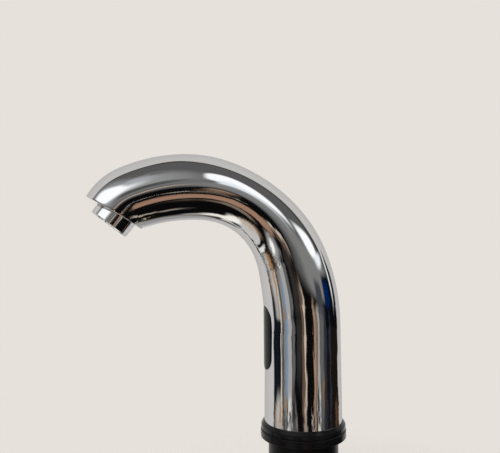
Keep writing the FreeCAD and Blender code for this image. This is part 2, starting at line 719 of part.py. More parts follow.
def core_tube():
    """The steel tube that the plunger slides in, with its fixed core and stud on top."""
    flange_top = core_tube_low + CORE_TUBE_FLANGE_THICK
    outer = rod(CORE_TUBE_RADIUS, core_tube_low, coil_top, valve_x)
    flange = rod(CORE_TUBE_FLANGE, core_tube_low, flange_top, valve_x)
    stud = rod(STUD_RADIUS, coil_top, frame_top + STUD_LENGTH, valve_x)
    hollow = rod(PLUNGER_RADIUS + SLIDE_GAP, core_tube_low - OVERCUT, fixed_core_low, valve_x)
    return outer.fuse([flange, stud]).cut(hollow)


def plunger():
    """The iron plunger that closes the pilot hole, with a pocket for its spring."""
    body = rod(PLUNGER_RADIUS, plunger_low, plunger_top, valve_x)
    return body.cut(rod(SPRING_POCKET, plunger_top - SPRING_POCKET_DEPTH, plunger_top + OVERCUT, valve_x))


def tangent_arc(start, corner, end):
    """The arc that touches two lines, which meet at a corner, at points the same length from it."""
    middle = (start + end) * 0.5
    share = (start - middle).Length / (start - corner).Length
    return Part.Arc(start, middle + (corner - middle) * (share / (1 + share)), end).toShape()


def two_arcs(start, start_way, end, end_way):
    """Two tangent arcs from one point and direction to another."""
    chord = end - start
    both = start_way + end_way
    a = 2 * (1 - start_way.dot(end_way))
    b = 2 * chord.dot(both)
    reach = (math.sqrt(b * b + 4 * a * chord.dot(chord)) - b) / (2 * a)
    first = start + start_way * reach
    second = end - end_way * reach
    joint = (first + second) * 0.5
    return [tangent_arc(start, first, joint), tangent_arc(joint, second, end)]


def plunger_spring():
    """The coil spring between the plunger and the fixed core, wound from tangent arcs."""
    low = plunger_top - SPRING_POCKET_DEPTH + SPRING_WIRE / 2 + PRESS_GAP
    pitch = (fixed_core_low - SPRING_WIRE / 2 - PRESS_GAP - low) / SPRING_TURNS

    def place(turn):
        out = SPRING_RADIUS * math.cos(turn)
        side = SPRING_RADIUS * math.sin(turn)
        return V(valve_x + out, side, low + pitch * turn / math.tau)

    def way(turn):
        out = -SPRING_RADIUS * math.sin(turn)
        side = SPRING_RADIUS * math.cos(turn)
        return V(out, side, pitch / math.tau).normalize()

    turns = [math.tau * i / WIRE_SIDES for i in range(WIRE_SIDES + 1)]
    across = way(0).cross(V(1, 0, 0))
    points = [place(0) + (V(1, 0, 0) * math.cos(t) + across * math.sin(t)) * (SPRING_WIRE / 2) for t in turns]
    section = Part.Face(Part.makePolygon(points))
    lengths = []
    for i in range(2 * SPRING_TURNS):
        start = math.pi * i
        end = start + math.pi
        for arc in two_arcs(place(start), way(start), place(end), way(end)):
            swing = (arc.Curve.Center, arc.Curve.Axis, math.degrees(arc.Length / arc.Curve.Radius))
            lengths.append(section.revolve(*swing))
            section = section.copy()
            section.rotate(*swing)
    return lengths[0].fuse(lengths[1:])


def solenoid_coil():
    """The moulded coil, with a flange at each end."""
    body = rod(COIL_RADIUS, coil_low, coil_top, valve_x)
    waist = pipe(COIL_RADIUS + OVERCUT, COIL_RADIUS - EDGE,
                 coil_low + 2 * STRAP, coil_top - 2 * STRAP, valve_x)
    bore = rod(CORE_TUBE_RADIUS + PRESS_GAP, coil_low - OVERCUT, coil_top + OVERCUT, valve_x)
    return body.cut(waist).cut(bore)


def coil_frame():
    """The steel strap bent round the coil."""
    half = COIL_RADIUS + STRAP + SLIDE_GAP
    low_x = valve_x - STRAP_WIDTH / 2
    high_x = valve_x + STRAP_WIDTH / 2
    loop = block(low_x, high_x, half, frame_low, frame_top)
    loop = loop.cut(block(low_x - OVERCUT, high_x + OVERCUT, half - STRAP, coil_low, coil_top))
    lower_hole = rod(CORE_TUBE_RADIUS + PRESS_GAP, frame_low - OVERCUT, coil_low, valve_x)
    upper_hole = rod(STUD_RADIUS + PRESS_GAP, coil_top, frame_top + OVERCUT, valve_x)
    return loop.cut(lower_hole).cut(upper_hole)


def coil_nut():
    nut = hexagon(COIL_NUT_FLATS, frame_top, frame_top + COIL_NUT_HEIGHT, valve_x)
    bore = rod(STUD_RADIUS + PRESS_GAP, frame_top - OVERCUT, frame_top + STUD_LENGTH + OVERCUT, valve_x)
    return nut.cut(bore)


# ---- water way ----------------------------------------------------------------------------

def adapter_levels():
    """Heights above the outlet face: the adapter's foot, its flange, the tube's stop, the socket's top."""
    foot = THREAD_DEPTH
    flange_top = outlet_depth + ADAPTER_FLANGE_THICK
    stop = outlet_depth + ADAPTER_STEP
    return foot, flange_top, stop, flange_top + ADAPTER_SOCKET_LENGTH


def tube_route():
    """The tube's centre line: up the column, round the bends beside the spout's own, and into the adapter."""
    (lead_centre, lead_radius, _, lead_turn), (main_centre, main_radius, _, _) = bend_centres()[:2]
    point, inward = outlet_frame()
    _, _, stop, _ = adapter_levels()
    end_turn = 180 - OUTLET_TILT
    end = point + inward * stop
    last_bend_end = end + inward * TUBE_PUSH
    reach = last_bend_end - main_centre
    radius = main_radius + TUBE_OFFSET
    # the last bend is tangent to the tube's main bend and to the outlet's axis
    last = (radius ** 2 - reach.Length ** 2) / (2 * (radius - reach.dot(outside(end_turn))))
    last_centre = last_bend_end - outside(end_turn) * last
    away = last_centre - main_centre
    leave_turn = math.degrees(math.atan2(away.z, away.x))

    def arc(centre, size, start, finish):
        points = [centre + outside(t) * size for t in (start, (start + finish) / 2, finish)]
        return Part.Arc(*points).toShape()

    foot = V(TUBE_OFFSET, 0, tube_low)
    column_end = V(TUBE_OFFSET, 0, COLUMN_HEIGHT)
    return Part.Wire([
        Part.LineSegment(foot, column_end).toShape(),
        arc(lead_centre, lead_radius + TUBE_OFFSET, 0, lead_turn),
        arc(main_centre, radius, lead_turn, leave_turn),
        arc(last_centre, last, leave_turn, end_turn),
        Part.LineSegment(last_bend_end, end).toShape(),
    ])


def water_tube():
    """The bent tube from the valve to the outlet."""
    route = tube_route()

    def swept(radius):
        circle = Part.Wire(Part.makeCircle(radius, V(TUBE_OFFSET, 0, tube_low), UP))
        return route.makePipeShell([circle], True, False)

    return swept(TUBE_RADIUS).cut(swept(TUBE_RADIUS - TUBE_WALL))


def outlet_adapter():
    """The brass fitting that joins the tube to the threaded end, on the outlet's axis."""
    foot, flange_top, stop, top = adapter_levels()
    body = rod(ADAPTER_SPIGOT, foot, outlet_depth + PRESS_GAP)
    body = body.fuse(rod(ADAPTER_FLANGE, outlet_depth, flange_top))
    body = body.fuse(rod(ADAPTER_SOCKET, outlet_depth, top)).removeSplitter()
    bore = rod(ADAPTER_BORE, foot - OVERCUT, top)
    socket = rod(TUBE_RADIUS + PRESS_GAP, stop, top + OVERCUT)
    middle = (stop + top) / 2
    groove = rod(TUBE_RADIUS + O_RING_WIRE + 2 * PRESS_GAP, middle - O_RING_WIRE / 2 - PRESS_GAP,
                 middle + O_RING_WIRE / 2 + PRESS_GAP)
    return on_outlet(body.cut(bore.fuse([socket, groove])))


def outlet_o_ring():
    _, _, stop, top = adapter_levels()
    return on_outlet(o_ring(TUBE_RADIUS + O_RING_WIRE / 2 + PRESS_GAP, O_RING_WIRE, (stop + top) / 2))


# ---- aerator, about Z with the outlet face at Z = 0 ---------------------------------------

def aerator_levels():
    """Heights of the aerator: its mouth, the lip's top, and the top of its threaded sleeve."""
    mouth = -COLLAR_DROP
    sleeve_top = THREAD_DEPTH - GASKET_THICK - AERATOR_WALL - PRESS_GAP
    return mouth, mouth + AERATOR_LIP, sleeve_top


def aerator_housing():
    """The chromed collar that screws into the spout's end."""
    mouth, lip_top, sleeve_top = aerator_levels()
    collar_top = COLLAR_RECESS - LOOSE_GAP
    bore = AERATOR_THREAD - AERATOR_WALL
    return on_outlet(turned([
        (bore - AERATOR_LIP + EDGE, mouth), (COLLAR_RADIUS - 2 * EDGE, mouth),
        (COLLAR_RADIUS, mouth + EDGE),
        (COLLAR_RADIUS, collar_top), (AERATOR_THREAD, collar_top), (AERATOR_THREAD, sleeve_top),
        (bore, sleeve_top), (bore, lip_top),
        (bore - AERATOR_LIP, lip_top), (bore - AERATOR_LIP, mouth + EDGE),
    ]))


def aerator_insert():
    """The plastic cartridge: a cup hung from its flange, with a pierced disc at its head."""
    _, lip_top, sleeve_top = aerator_levels()
    outer = AERATOR_THREAD - AERATOR_WALL - SLIDE_GAP
    inner = outer - AERATOR_WALL
    low = lip_top + PRESS_GAP
    flange_low = sleeve_top + PRESS_GAP
    flange_top = flange_low + AERATOR_WALL - PRESS_GAP
    disc_low = flange_top - 2 * AERATOR_WALL
    cup = turned([
        (inner, low), (outer, low), (outer, flange_low), (AERATOR_THREAD - LOOSE_GAP, flange_low),
        (AERATOR_THREAD - LOOSE_GAP, flange_top), (0, flange_top), (0, disc_low), (inner, disc_low),
    ])
    for i in range(JETS):
        turn = 2 * math.pi * i / JETS
        cup = cup.cut(rod(JET_RADIUS, disc_low - OVERCUT, flange_top + OVERCUT,
                          JET_CIRCLE * math.cos(turn), JET_CIRCLE * math.sin(turn)))
    return on_outlet(cup)


def aerator_screen():
    """The honeycomb that straightens the stream."""
    _, lip_top, _ = aerator_levels()
    low = lip_top + PRESS_GAP
    radius = AERATOR_THREAD - 2 * AERATOR_WALL - SLIDE_GAP - PRESS_GAP
    screen = rod(radius, low, low + SCREEN_THICK)
    cells = []
    for row in range(-CELL_ROWS, CELL_ROWS + 1):
        for column in range(-CELL_ROWS, CELL_ROWS + 1):
            if abs(row + column) > CELL_ROWS:
                continue
            cell = hexagon(CELL_PITCH - CELL_WALL, low - OVERCUT, low + SCREEN_THICK + OVERCUT)
            cell.translate(V(CELL_PITCH * (row + column / 2), CELL_PITCH * column * math.sqrt(3) / 2, 0))
            cells.append(cell)
    return on_outlet(screen.cut(Part.makeCompound(cells)))


def aerator_gasket():
    """The flat rubber ring on top of the cartridge."""
    top = THREAD_DEPTH - PRESS_GAP
    outer = AERATOR_THREAD - LOOSE_GAP
    return on_outlet(pipe(outer, ADAPTER_SPIGOT, top - GASKET_THICK + PRESS_GAP, top))


# ---- sensor -------------------------------------------------------------------------------

def lens_outline(margin, x_low, x_high):
    """The window's outline grown by a margin, as a bar along X."""
    return stadium(x_low, x_high, WINDOW_WIDTH + 2 * margin, WINDOW_LOW - margin, WINDOW_HIGH + margin)


def sensor_window():
    """The dark lens: it follows the column's round face, a little proud, with a flat flange behind."""
    front = rod(COLUMN_RADIUS + WINDOW_PROUD, WINDOW_LOW - OVERCUT, WINDOW_HIGH + OVERCUT, -WINDOW_GAP)
    lens = lens_outline(-WINDOW_GAP, -2 * foot_radius, lens_front + EDGE).common(front)
    return lens.fuse(lens_outline(WINDOW_RIM, lens_front, lens_back)).removeSplitter()


def sensor_gasket():
    """The foam gasket between that flange and the inside of the column."""
    pad = lens_outline(WINDOW_RIM, -foot_radius, lens_front)
    pad = pad.cut(lens_outline(0, -2 * foot_radius, 0))
    return pad.common(spout_form(SPOUT_WALL + PRESS_GAP, spout_foot))


def sensor_case():
    """The black box behind the lens, open towards it."""
    half = WINDOW_WIDTH / 2 + WINDOW_RIM - CASE_MARGIN
    low = WINDOW_LOW - WINDOW_RIM - CASE_MARGIN
    high = WINDOW_HIGH + WINDOW_RIM + CASE_MARGIN
    box = block(lens_back, case_back, half, low, high)
    hollow = block(lens_back - OVERCUT, case_back - CASE_WALL, half - CASE_WALL,
                   low + CASE_WALL, high - CASE_WALL)
    return box.cut(hollow)


def board_face():
    return case_back - BOARD_INSET - BOARD_THICK


def sensor_board():
    """The circuit board, on two ribs against the case's back."""
    half = WINDOW_WIDTH / 2 + WINDOW_RIM - CASE_MARGIN - CASE_WALL - PRESS_GAP
    low = WINDOW_LOW - WINDOW_RIM - CASE_MARGIN + CASE_WALL + PRESS_GAP
    high = WINDOW_HIGH + WINDOW_RIM + CASE_MARGIN - CASE_WALL - PRESS_GAP
    board = block(board_face(), board_face() + BOARD_THICK, half, low, high)
    chip_back = case_back - CASE_WALL - PRESS_GAP
    chips = []
    for z in (window_middle - EYE_SPACING / 2, window_middle + EYE_SPACING / 2):
        chips.append(block(board_face() + BOARD_THICK, chip_back, half / 2, z - half / 2, z + half / 2))
    return board.fuse(chips)


def eye(z):
    """A round infrared part on the board, facing the lens, with a domed end."""
    tip = lens_back + EYE_GAP
    stem = crossbar(EYE_RADIUS, tip + EYE_RADIUS, board_face(), 0, z)
    dome = Part.makeSphere(EYE_RADIUS, V(tip + EYE_RADIUS, 0, z))
    return stem.fuse(dome)


def ir_emitter():
    return eye(window_middle + EYE_SPACING / 2)


def ir_receiver():
    return eye(window_middle - EYE_SPACING / 2)


def sensor_bracket():
    """The strap across the column that holds the case against the lens."""
    strap = block(case_back, case_back + BRACKET_THICK, bracket_half,
                  window_middle - BRACKET_HEIGHT / 2, window_middle + BRACKET_HEIGHT / 2)
    for side in (1, -1):
        strap = strap.cut(crossbar(BRACKET_SCREW + PRESS_GAP, case_back - OVERCUT, case_back + OVERCUT,
                                   side * boss_y, window_middle))
    return strap


def bracket_screws():
    screws = []
    head_low = case_back + BRACKET_THICK
    for side in (1, -1):
        y = side * boss_y
        stem = crossbar(BRACKET_SCREW - PRESS_GAP, case_back - BRACKET_SCREW_REACH, head_low,
                        y, window_middle)
        head = crossbar(BRACKET_HEAD, head_low, head_low + BRACKET_HEAD_HEIGHT, y, window_middle)
        screws.append(stem.fuse(head))
    return Part.makeCompound(screws)


# ---- every piece, under its own name ------------------------------------------------------

PIECES = (
    spout_body, foot_insert, base_gasket, base_flange, deck_seal, mounting_shank,
    rubber_washer, steel_washer, back_nut,
    inlet_plug, retaining_ring, inlet_nipple, inlet_o_ring, inlet_strainer, cable_grommet,
    valve_body, diaphragm, diaphragm_core, valve_bonnet, bonnet_screws,
    core_tube, plunger, plunger_spring, solenoid_coil, coil_frame, coil_nut,
    water_tube, outlet_adapter, outlet_o_ring,
    aerator_housing, aerator_insert, aerator_screen, aerator_gasket,
    sensor_window, sensor_gasket, sensor_case, sensor_board, ir_emitter, ir_receiver,
    sensor_bracket, bracket_screws,
)

os.makedirs("parts", exist_ok=True)
for make in PIECES:
    shape = make()
    node = make.__name__
    shape.exportStep(f"parts/{node}.step")
    print(node, "solids", len(shape.Solids), "valid", shape.isValid(), "volume %.1f" % shape.Volume)
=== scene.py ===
import functools
import json
import math

import bmesh
import bpy
from mathutils import Matrix, Vector


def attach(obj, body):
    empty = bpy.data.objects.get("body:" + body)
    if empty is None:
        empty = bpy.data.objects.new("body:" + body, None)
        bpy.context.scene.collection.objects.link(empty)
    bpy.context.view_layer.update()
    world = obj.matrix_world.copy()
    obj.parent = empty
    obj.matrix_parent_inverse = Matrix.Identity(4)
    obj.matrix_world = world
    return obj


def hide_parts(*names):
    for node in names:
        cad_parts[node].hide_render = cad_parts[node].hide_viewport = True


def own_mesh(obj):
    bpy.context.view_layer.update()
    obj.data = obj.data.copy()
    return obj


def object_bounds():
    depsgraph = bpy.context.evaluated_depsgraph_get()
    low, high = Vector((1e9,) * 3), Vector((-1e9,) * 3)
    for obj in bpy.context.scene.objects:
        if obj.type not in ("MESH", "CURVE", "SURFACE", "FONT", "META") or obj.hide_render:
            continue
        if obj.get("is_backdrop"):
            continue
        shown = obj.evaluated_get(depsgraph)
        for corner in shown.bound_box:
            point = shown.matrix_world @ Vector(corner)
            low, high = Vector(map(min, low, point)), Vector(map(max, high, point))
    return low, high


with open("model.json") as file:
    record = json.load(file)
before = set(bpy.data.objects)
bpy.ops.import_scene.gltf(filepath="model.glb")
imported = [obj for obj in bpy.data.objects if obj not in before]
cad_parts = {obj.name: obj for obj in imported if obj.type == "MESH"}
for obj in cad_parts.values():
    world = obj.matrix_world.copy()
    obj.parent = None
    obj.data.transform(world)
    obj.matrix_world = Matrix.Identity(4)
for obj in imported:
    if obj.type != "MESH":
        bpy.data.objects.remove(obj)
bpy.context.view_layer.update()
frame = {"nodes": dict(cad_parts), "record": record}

bl_info = {
    "name": "Sensor tap",
    "version": (1, 0, 0),
    "blender": (4, 5, 0),
    "location": "View3D > Sidebar > Tap",
    "description": "A swan-neck sensor tap: casting, lens, aerator, base, shank, nut and inlet",
    "category": "Add Mesh",
}

MM = 0.001
SHARP = math.radians(28)    # faces that meet at more than this keep a crisp edge
GUARD = 0.12                # beside a round, a point at this share of its reach keeps it tight
BREAK = 0.1 * MM            # rounding of an edge that has no rounding of its own
OVERSHOOT = 6 * MM          # how far the outlet's cutter runs out of the face that it opens
PLAY = 0.02 * MM            # a gap between two pieces that only touch


# ---- settings -----------------------------------------------------------------------------

def length(name, millimetres, description):
    return bpy.props.FloatProperty(
        name=name, description=description, default=millimetres * MM, min=0.0,
        unit="LENGTH", precision=5)


def height(name, millimetres, description):
    """A place along an axis, which may lie below zero."""
    return bpy.props.FloatProperty(
        name=name, description=description, default=millimetres * MM, unit="LENGTH", precision=5)


def spot(name, metres, description):
    return bpy.props.FloatVectorProperty(
        name=name, description=description, size=3, default=metres, unit="LENGTH", precision=5)


def angle(name, degrees, description):
    return bpy.props.FloatProperty(
        name=name, description=description, default=math.radians(degrees), subtype="ANGLE")


def colour(name, value, description):
    return bpy.props.FloatVectorProperty(
        name=name, description=description, size=3, default=value, min=0.0, max=1.0,
        subtype="COLOR")


def share(name, value, description):
    return bpy.props.FloatProperty(
        name=name, description=description, default=value, min=0.0, max=4.0, subtype="FACTOR")


def count(name, value, description):
    return bpy.props.IntProperty(name=name, description=description, default=value, min=3)


class SpoutSettings(bpy.types.PropertyGroup):
    foot: height("Foot", 7.2, "Height of the casting's foot above the deck")
    foot_radius: length("Foot radius", 24.0, "Outside radius at the foot")
    column_radius: length("Column radius", 23.2, "Outside radius at the top of the straight column")
    column_height: length("Column height", 65.3, "Top of the straight column above the deck")
    waist_radius: length("Waist radius", 18.15, "Outside radius at the slimmest place")
    head_radius: length("Head radius", 19.3, "Outside radius at the fullest place of the arm")
    nose_radius: length("Nose radius", 17.9, "Outside radius at the outlet face")
    wall: length("Wall", 2.2, "Thickness of the casting")
    lead_radius: length("Lead-in radius", 137.7, "Centre-line radius of the first bend")
    lead_turn: angle("Lead-in turn", 17.0, "Turn of the first bend")
    main_radius: length("Main radius", 65.7, "Centre-line radius of the main bend")
    main_turn: angle("Main turn", 72.0, "Turn of the main bend")
    arm_radius: length("Arm radius", 91.3, "Centre-line radius of the arm")
    arm_turn: angle("Arm turn", 22.4, "Turn of the arm")
    nose_bend: length("Nose bend", 20.9, "Centre-line radius of the last bend")
    nose_turn: angle("Nose turn", 37.4, "Turn of the last bend")
    taper_start: length("Taper start", 11.5, "Length along the bends where the narrowing begins")
    taper_end: length("Taper end", 91.0, "Length along the bends where it is slimmest")
    head_place: length("Head place", 129.3, "Length along the bends where the arm is fullest")
    face_round: length("Face rounding", 0.5, "Rounding of the outlet face's edge")
    foot_open: length("Foot opening", 5.0, "How far the hollow's tool runs out below the foot")
    lip_zone: length("Lip zone", 6.0, "How far behind the outlet face its edge is evened")
    lip_inside: length("Lip inside", 15.0, "Radius inside which nothing of the face changes")
    lip_round: length("Lip rounding", 1.9, "Rounding of that edge at its lowest place")
    lip_passes: count("Lip passes", 40, "How often the hollow behind that edge is evened")
    hollow_end: length("Hollow end", 10.6, "From the end of the hollow to the outlet face")
    recess: length("Recess radius", 12.3, "Radius of the recess for the aerator's collar")
    recess_deep: length("Recess depth", 3.0, "Depth of that recess")
    socket: length("Socket radius", 11.0, "Radius of the threaded socket")
    socket_deep: length("Socket depth", 8.0, "Depth of the socket below the face")
    passage: length("Passage radius", 5.92, "Radius of the water's passage")
    passage_deep: length("Passage depth", 16.0, "Depth of the passage below the face")
    boss_side: length("Boss place", 15.97, "From the middle to each inner boss, along Y")
    boss_radius: length("Boss radius", 2.8, "Radius of the two inner bosses")
    boss_front: height("Boss front", -30.0, "Where the bosses begin, inside the wall, along X")
    boss_back: height("Boss back", -7.62, "Where the bosses end, along X")
    screw_radius: length("Screw hole", 1.25, "Radius of the screw holes in the bosses")
    screw_front: height("Screw hole front", -12.92, "Where the screw holes end, along X")
    screw_back: height("Screw hole back", -2.0, "Where the tools for these holes begin, along X")
    station: length("Station", 0.9, "Spacing of the sections along the centre line")
    around: count("Sides", 168, "Vertices round the tube")
    outlet_tilt: angle("Outlet tilt", 38.0, "Angle of the water's path from plumb")
    outlet_setback: length(
        "Outlet setback", 1.75, "From the centre line to the outlet's axis, down the face")
    chrome: colour("Chrome", (0.60, 0.605, 0.61), "Colour of the plating")
    chrome_roughness: share("Chrome roughness", 0.035, "Roughness of the plating")


class WindowSettings(bpy.types.PropertyGroup):
    low: height("Lower end", 41.8, "Bottom of the window above the deck")
    high: height("Upper end", 80.4, "Top of the window above the deck")
    width: length("Width", 14.8, "Width of the window")
    proud: length("Proud", 0.7, "How far the lens stands out of the column")
    gap: length("Gap", 0.1, "Clearance round the lens")
    edge: length("Edge", 0.35, "Rounding of the lens's front edge")
    rim: length("Rim", 1.5, "Flange behind the opening")
    flange_front: height("Flange front", -18.72, "Front of the flange, along X")
    flange_back: height("Flange back", -17.22, "Back of the flange, along X")
    around: count("Sides", 128, "Vertices round the lens")
    lens: colour("Lens", (0.006, 0.006, 0.008), "Colour of the dark lens")


class AeratorSettings(bpy.types.PropertyGroup):
    radius: length("Radius", 12.0, "Outside radius of the collar")
    drop: length("Drop", 7.4, "How far the collar stands out of the face")
    collar_top: length("Collar top", 2.7, "Top of the collar above the face")
    thread: length("Thread radius", 10.95, "Outside radius of the thread")
    thread_depth: length("Thread depth", 0.55, "Depth of the thread")
    pitch: length("Pitch", 1.0, "Pitch of the thread")
    sleeve_top: length("Sleeve top", 5.95, "Top of the threaded sleeve above the face")
    bore: length("Bore", 9.95, "Bore radius of the sleeve")
    lip: length("Lip", 1.2, "Width and height of the lip at the mouth")
    rim_round: length("Rim rounding", 0.75, "Height of the slope at the collar's lower edge")
    rim_slope: length("Rim slope", 0.8, "Width of that slope")
    mouth_slope: length("Mouth slope", 0.5, "Width and height of the slope at the mouth")
    screen: length("Screen radius", 8.8, "Outside radius of the honeycomb screen")
    screen_thick: length("Screen thickness", 2.0, "Thickness of the honeycomb screen")
    cell: length("Cell pitch", 2.6, "Spacing of the cells")
    cell_wall: length("Cell wall", 0.5, "Wall between the cells")
    plastic: colour("Plastic", (0.72, 0.73, 0.74), "Colour of the screen and cartridge")


class BaseSettings(bpy.types.PropertyGroup):
    flange_radius: length("Flange radius", 26.2, "Outside radius of the ring on the deck")
    flange_height: length("Flange height", 4.7, "Height of that ring")
    gasket_radius: length("Gasket radius", 25.8, "Outside radius of the gasket under the casting")
    gasket_top: length("Gasket top", 9.6, "Top of the gasket above the deck")
    shoulder: length("Shoulder", 1.9, "Height of the sloping shoulder")
    groove: length("Groove", 0.4, "Height and depth of the line below the bead")
    lip: length("Lip radius", 24.02, "Inside radius of the gasket's lip")
    seat: length("Seat", 7.2, "Height of the face that the casting stands on")
    bore: length("Bore", 21.42, "Inside radius of both rings")
    flange_low_round: length("Lower rounding", 0.45, "Rounding of the ring's lower edge")
    flange_round: length("Upper rounding", 0.7, "Rounding of the ring's upper edge")
    bead_round: length("Bead rounding", 0.2, "Rounding of the gasket's bead")
    shoulder_round: length("Shoulder rounding", 0.55, "Rounding where the shoulder begins")
    lip_wide: length("Lip width", 0.5, "Width of the gasket's lip at its top")
    lip_round: length("Lip rounding", 0.3, "Rounding of the lip")
    seal_radius: length("Seal radius", 23.8, "Middle radius of the groove under the ring")
    seal_width: length("Seal width", 2.14, "Width and depth of that groove")
    satin: colour("Ring", (0.0035, 0.0035, 0.004), "Colour of the ring on the deck")
    rubber: colour("Gasket", (0.0045, 0.0045, 0.005), "Colour of the gasket")


class ShankSettings(bpy.types.PropertyGroup):
    radius: length("Radius", 21.4, "Outside radius of the plain part")
    thread: length("Thread radius", 21.0, "Outside radius of the thread")
    pitch: length("Pitch", 2.0, "Pitch of the thread")
    depth: length("Thread depth", 1.15, "Depth of the thread")
    smooth: length("Plain length", 12.0, "Plain length below the deck")
    end: length("Length", 68.0, "Length below the deck")
    seat: length("Seat", 7.2, "Height of the shoulder that the casting stands on")
    spigot: length("Spigot radius", 19.0, "Radius of the end in the casting's foot")
    spigot_top: length("Spigot top", 16.2, "Top of that end above the deck")
    bore: length("Bore", 16.8, "Bore radius round the valve")
    upper_bore: length("Upper bore", 16.3, "Narrower bore radius above the valve")
    bonnet_top: height("Valve top", -24.0, "Height where the bore narrows")
    ring_high: height("Groove top", -64.0, "Top of the groove for the spring ring")
    ring_low: height("Groove bottom", -65.52, "Bottom of the groove for the spring ring")
    ring_depth: length("Groove depth", 1.0, "Depth of that groove")
    satin: colour("Shank", (0.0030, 0.0030, 0.0034), "Colour of the shank")


class FixingSettings(bpy.types.PropertyGroup):
    bore: length("Washer bore", 21.7, "Inside radius of the washers")
    rubber_width: length("Rubber width", 6.3, "Width of the rubber washer")
    rubber_top: height("Rubber top", -21.0, "Top of the rubber washer")
    rubber_thick: length("Rubber thickness", 3.0, "Thickness of the rubber washer")
    steel_width: length("Steel width", 5.3, "Width of the steel washer")
    steel_thick: length("Steel thickness", 1.5, "Thickness of the steel washer")
    flats: length("Flats", 54.0, "Width of the nut across its flats")
    nut_top: height("Nut top", -25.52, "Top of the nut")
    nut_height: length("Nut height", 8.0, "Height of the nut")
    nut_bore: length("Nut bore", 21.02, "Bore radius of the nut")
    rubber_round: length("Rubber rounding", 0.4, "Rounding of the rubber washer's edges")
    steel_round: length("Steel rounding", 0.2, "Rounding of the steel washer's edges")
    nut_bevel: length("Nut bevel", 2.09, "Height of the slope at the nut's corners")
    steel: colour("Steel", (0.56, 0.56, 0.55), "Colour of the steel washer")
    brass: colour("Brass", (0.80, 0.62, 0.30), "Colour of brass parts")


class InletSettings(bpy.types.PropertyGroup):
    centre: height("Centre", -5.0, "Where the inlet's axis is along X")
    thread: length("Thread radius", 10.48, "Outside radius of the thread")
    pitch: length("Pitch", 1.814, "Pitch of the thread")
    depth: length("Thread depth", 1.1, "Depth of the thread")
    end: height("End", -87.8, "Lower end of the inlet")
    thread_top: height("Thread top", -75.8, "Upper end of the thread")
    hex_low: height("Hexagon bottom", -74.3, "Bottom of the hexagon")
    hex_high: height("Hexagon top", -68.3, "Top of the hexagon")
    flats: length("Flats", 22.0, "Width of the hexagon across its flats")
    hex_lap: length("Hexagon lap", 0.3, "How far the hexagon reaches into the collar")
    hex_bevel: length("Hexagon bevel", 0.9, "Height of the slope at its corners")
    collar: length("Collar radius", 9.5, "Outside radius of the plain collar above the hexagon")
    plug_low: height("Plug", -64.0, "Underside of the plug, where the collar ends")
    spigot: length("Spigot radius", 7.9, "Outside radius of the end in the valve")
    tip: height("Tip", -49.0, "Upper end of the fitting")
    bore: length("Bore", 5.5, "Bore radius")


class StageSettings(bpy.types.PropertyGroup):
    backdrop: colour("Backdrop", (0.792, 0.754, 0.708), "Colour of the backdrop and the floor")
    light: share("Light", 0.85, "Strength of the even light")
    key: bpy.props.FloatProperty(
        name="Key light", description="Power of the soft key light", default=3.0, min=0.0,
        unit="POWER")
    key_size: length("Key size", 500.0, "Width of the key light")
    key_place: spot("Key place", (-0.45, -0.5, 0.6), "Where the key light stands")
    key_aim: spot("Key aim", (0.0, 0.0, 0.05), "What the key light points at")
    floor: length("Floor", 420.0, "Radius of the floor")
    floor_solid: length("Solid floor", 130.0, "Radius inside which the floor is solid")
    floor_gone: length("Faded floor", 300.0, "Radius where it has faded out")
    floor_gap: length("Floor gap", 0.2, "Room between the lowest part and the floor")
    focal: bpy.props.FloatProperty(
        name="Focal length", description="Focal length on a 36 mm sensor", default=45.065,
        unit="CAMERA")
    camera: spot("Camera", (-0.12598, -0.36461, 0.13258), "Where the camera stands")
    yaw: angle("Yaw", 14.327, "Turn of the camera from +Y towards +X")
    pitch: angle("Pitch", 0.612, "How far the camera looks down")
    roll: angle("Roll", -0.448, "Roll of the camera")


SETTINGS = {
    "tap_spout": SpoutSettings,
    "tap_window": WindowSettings,
    "tap_aerator": AeratorSettings,
    "tap_base": BaseSettings,
    "tap_shank": ShankSettings,
    "tap_fixings": FixingSettings,
    "tap_inlet": InletSettings,
    "tap_stage": StageSettings,
}


# ---- node helpers -------------------------------------------------------------------------

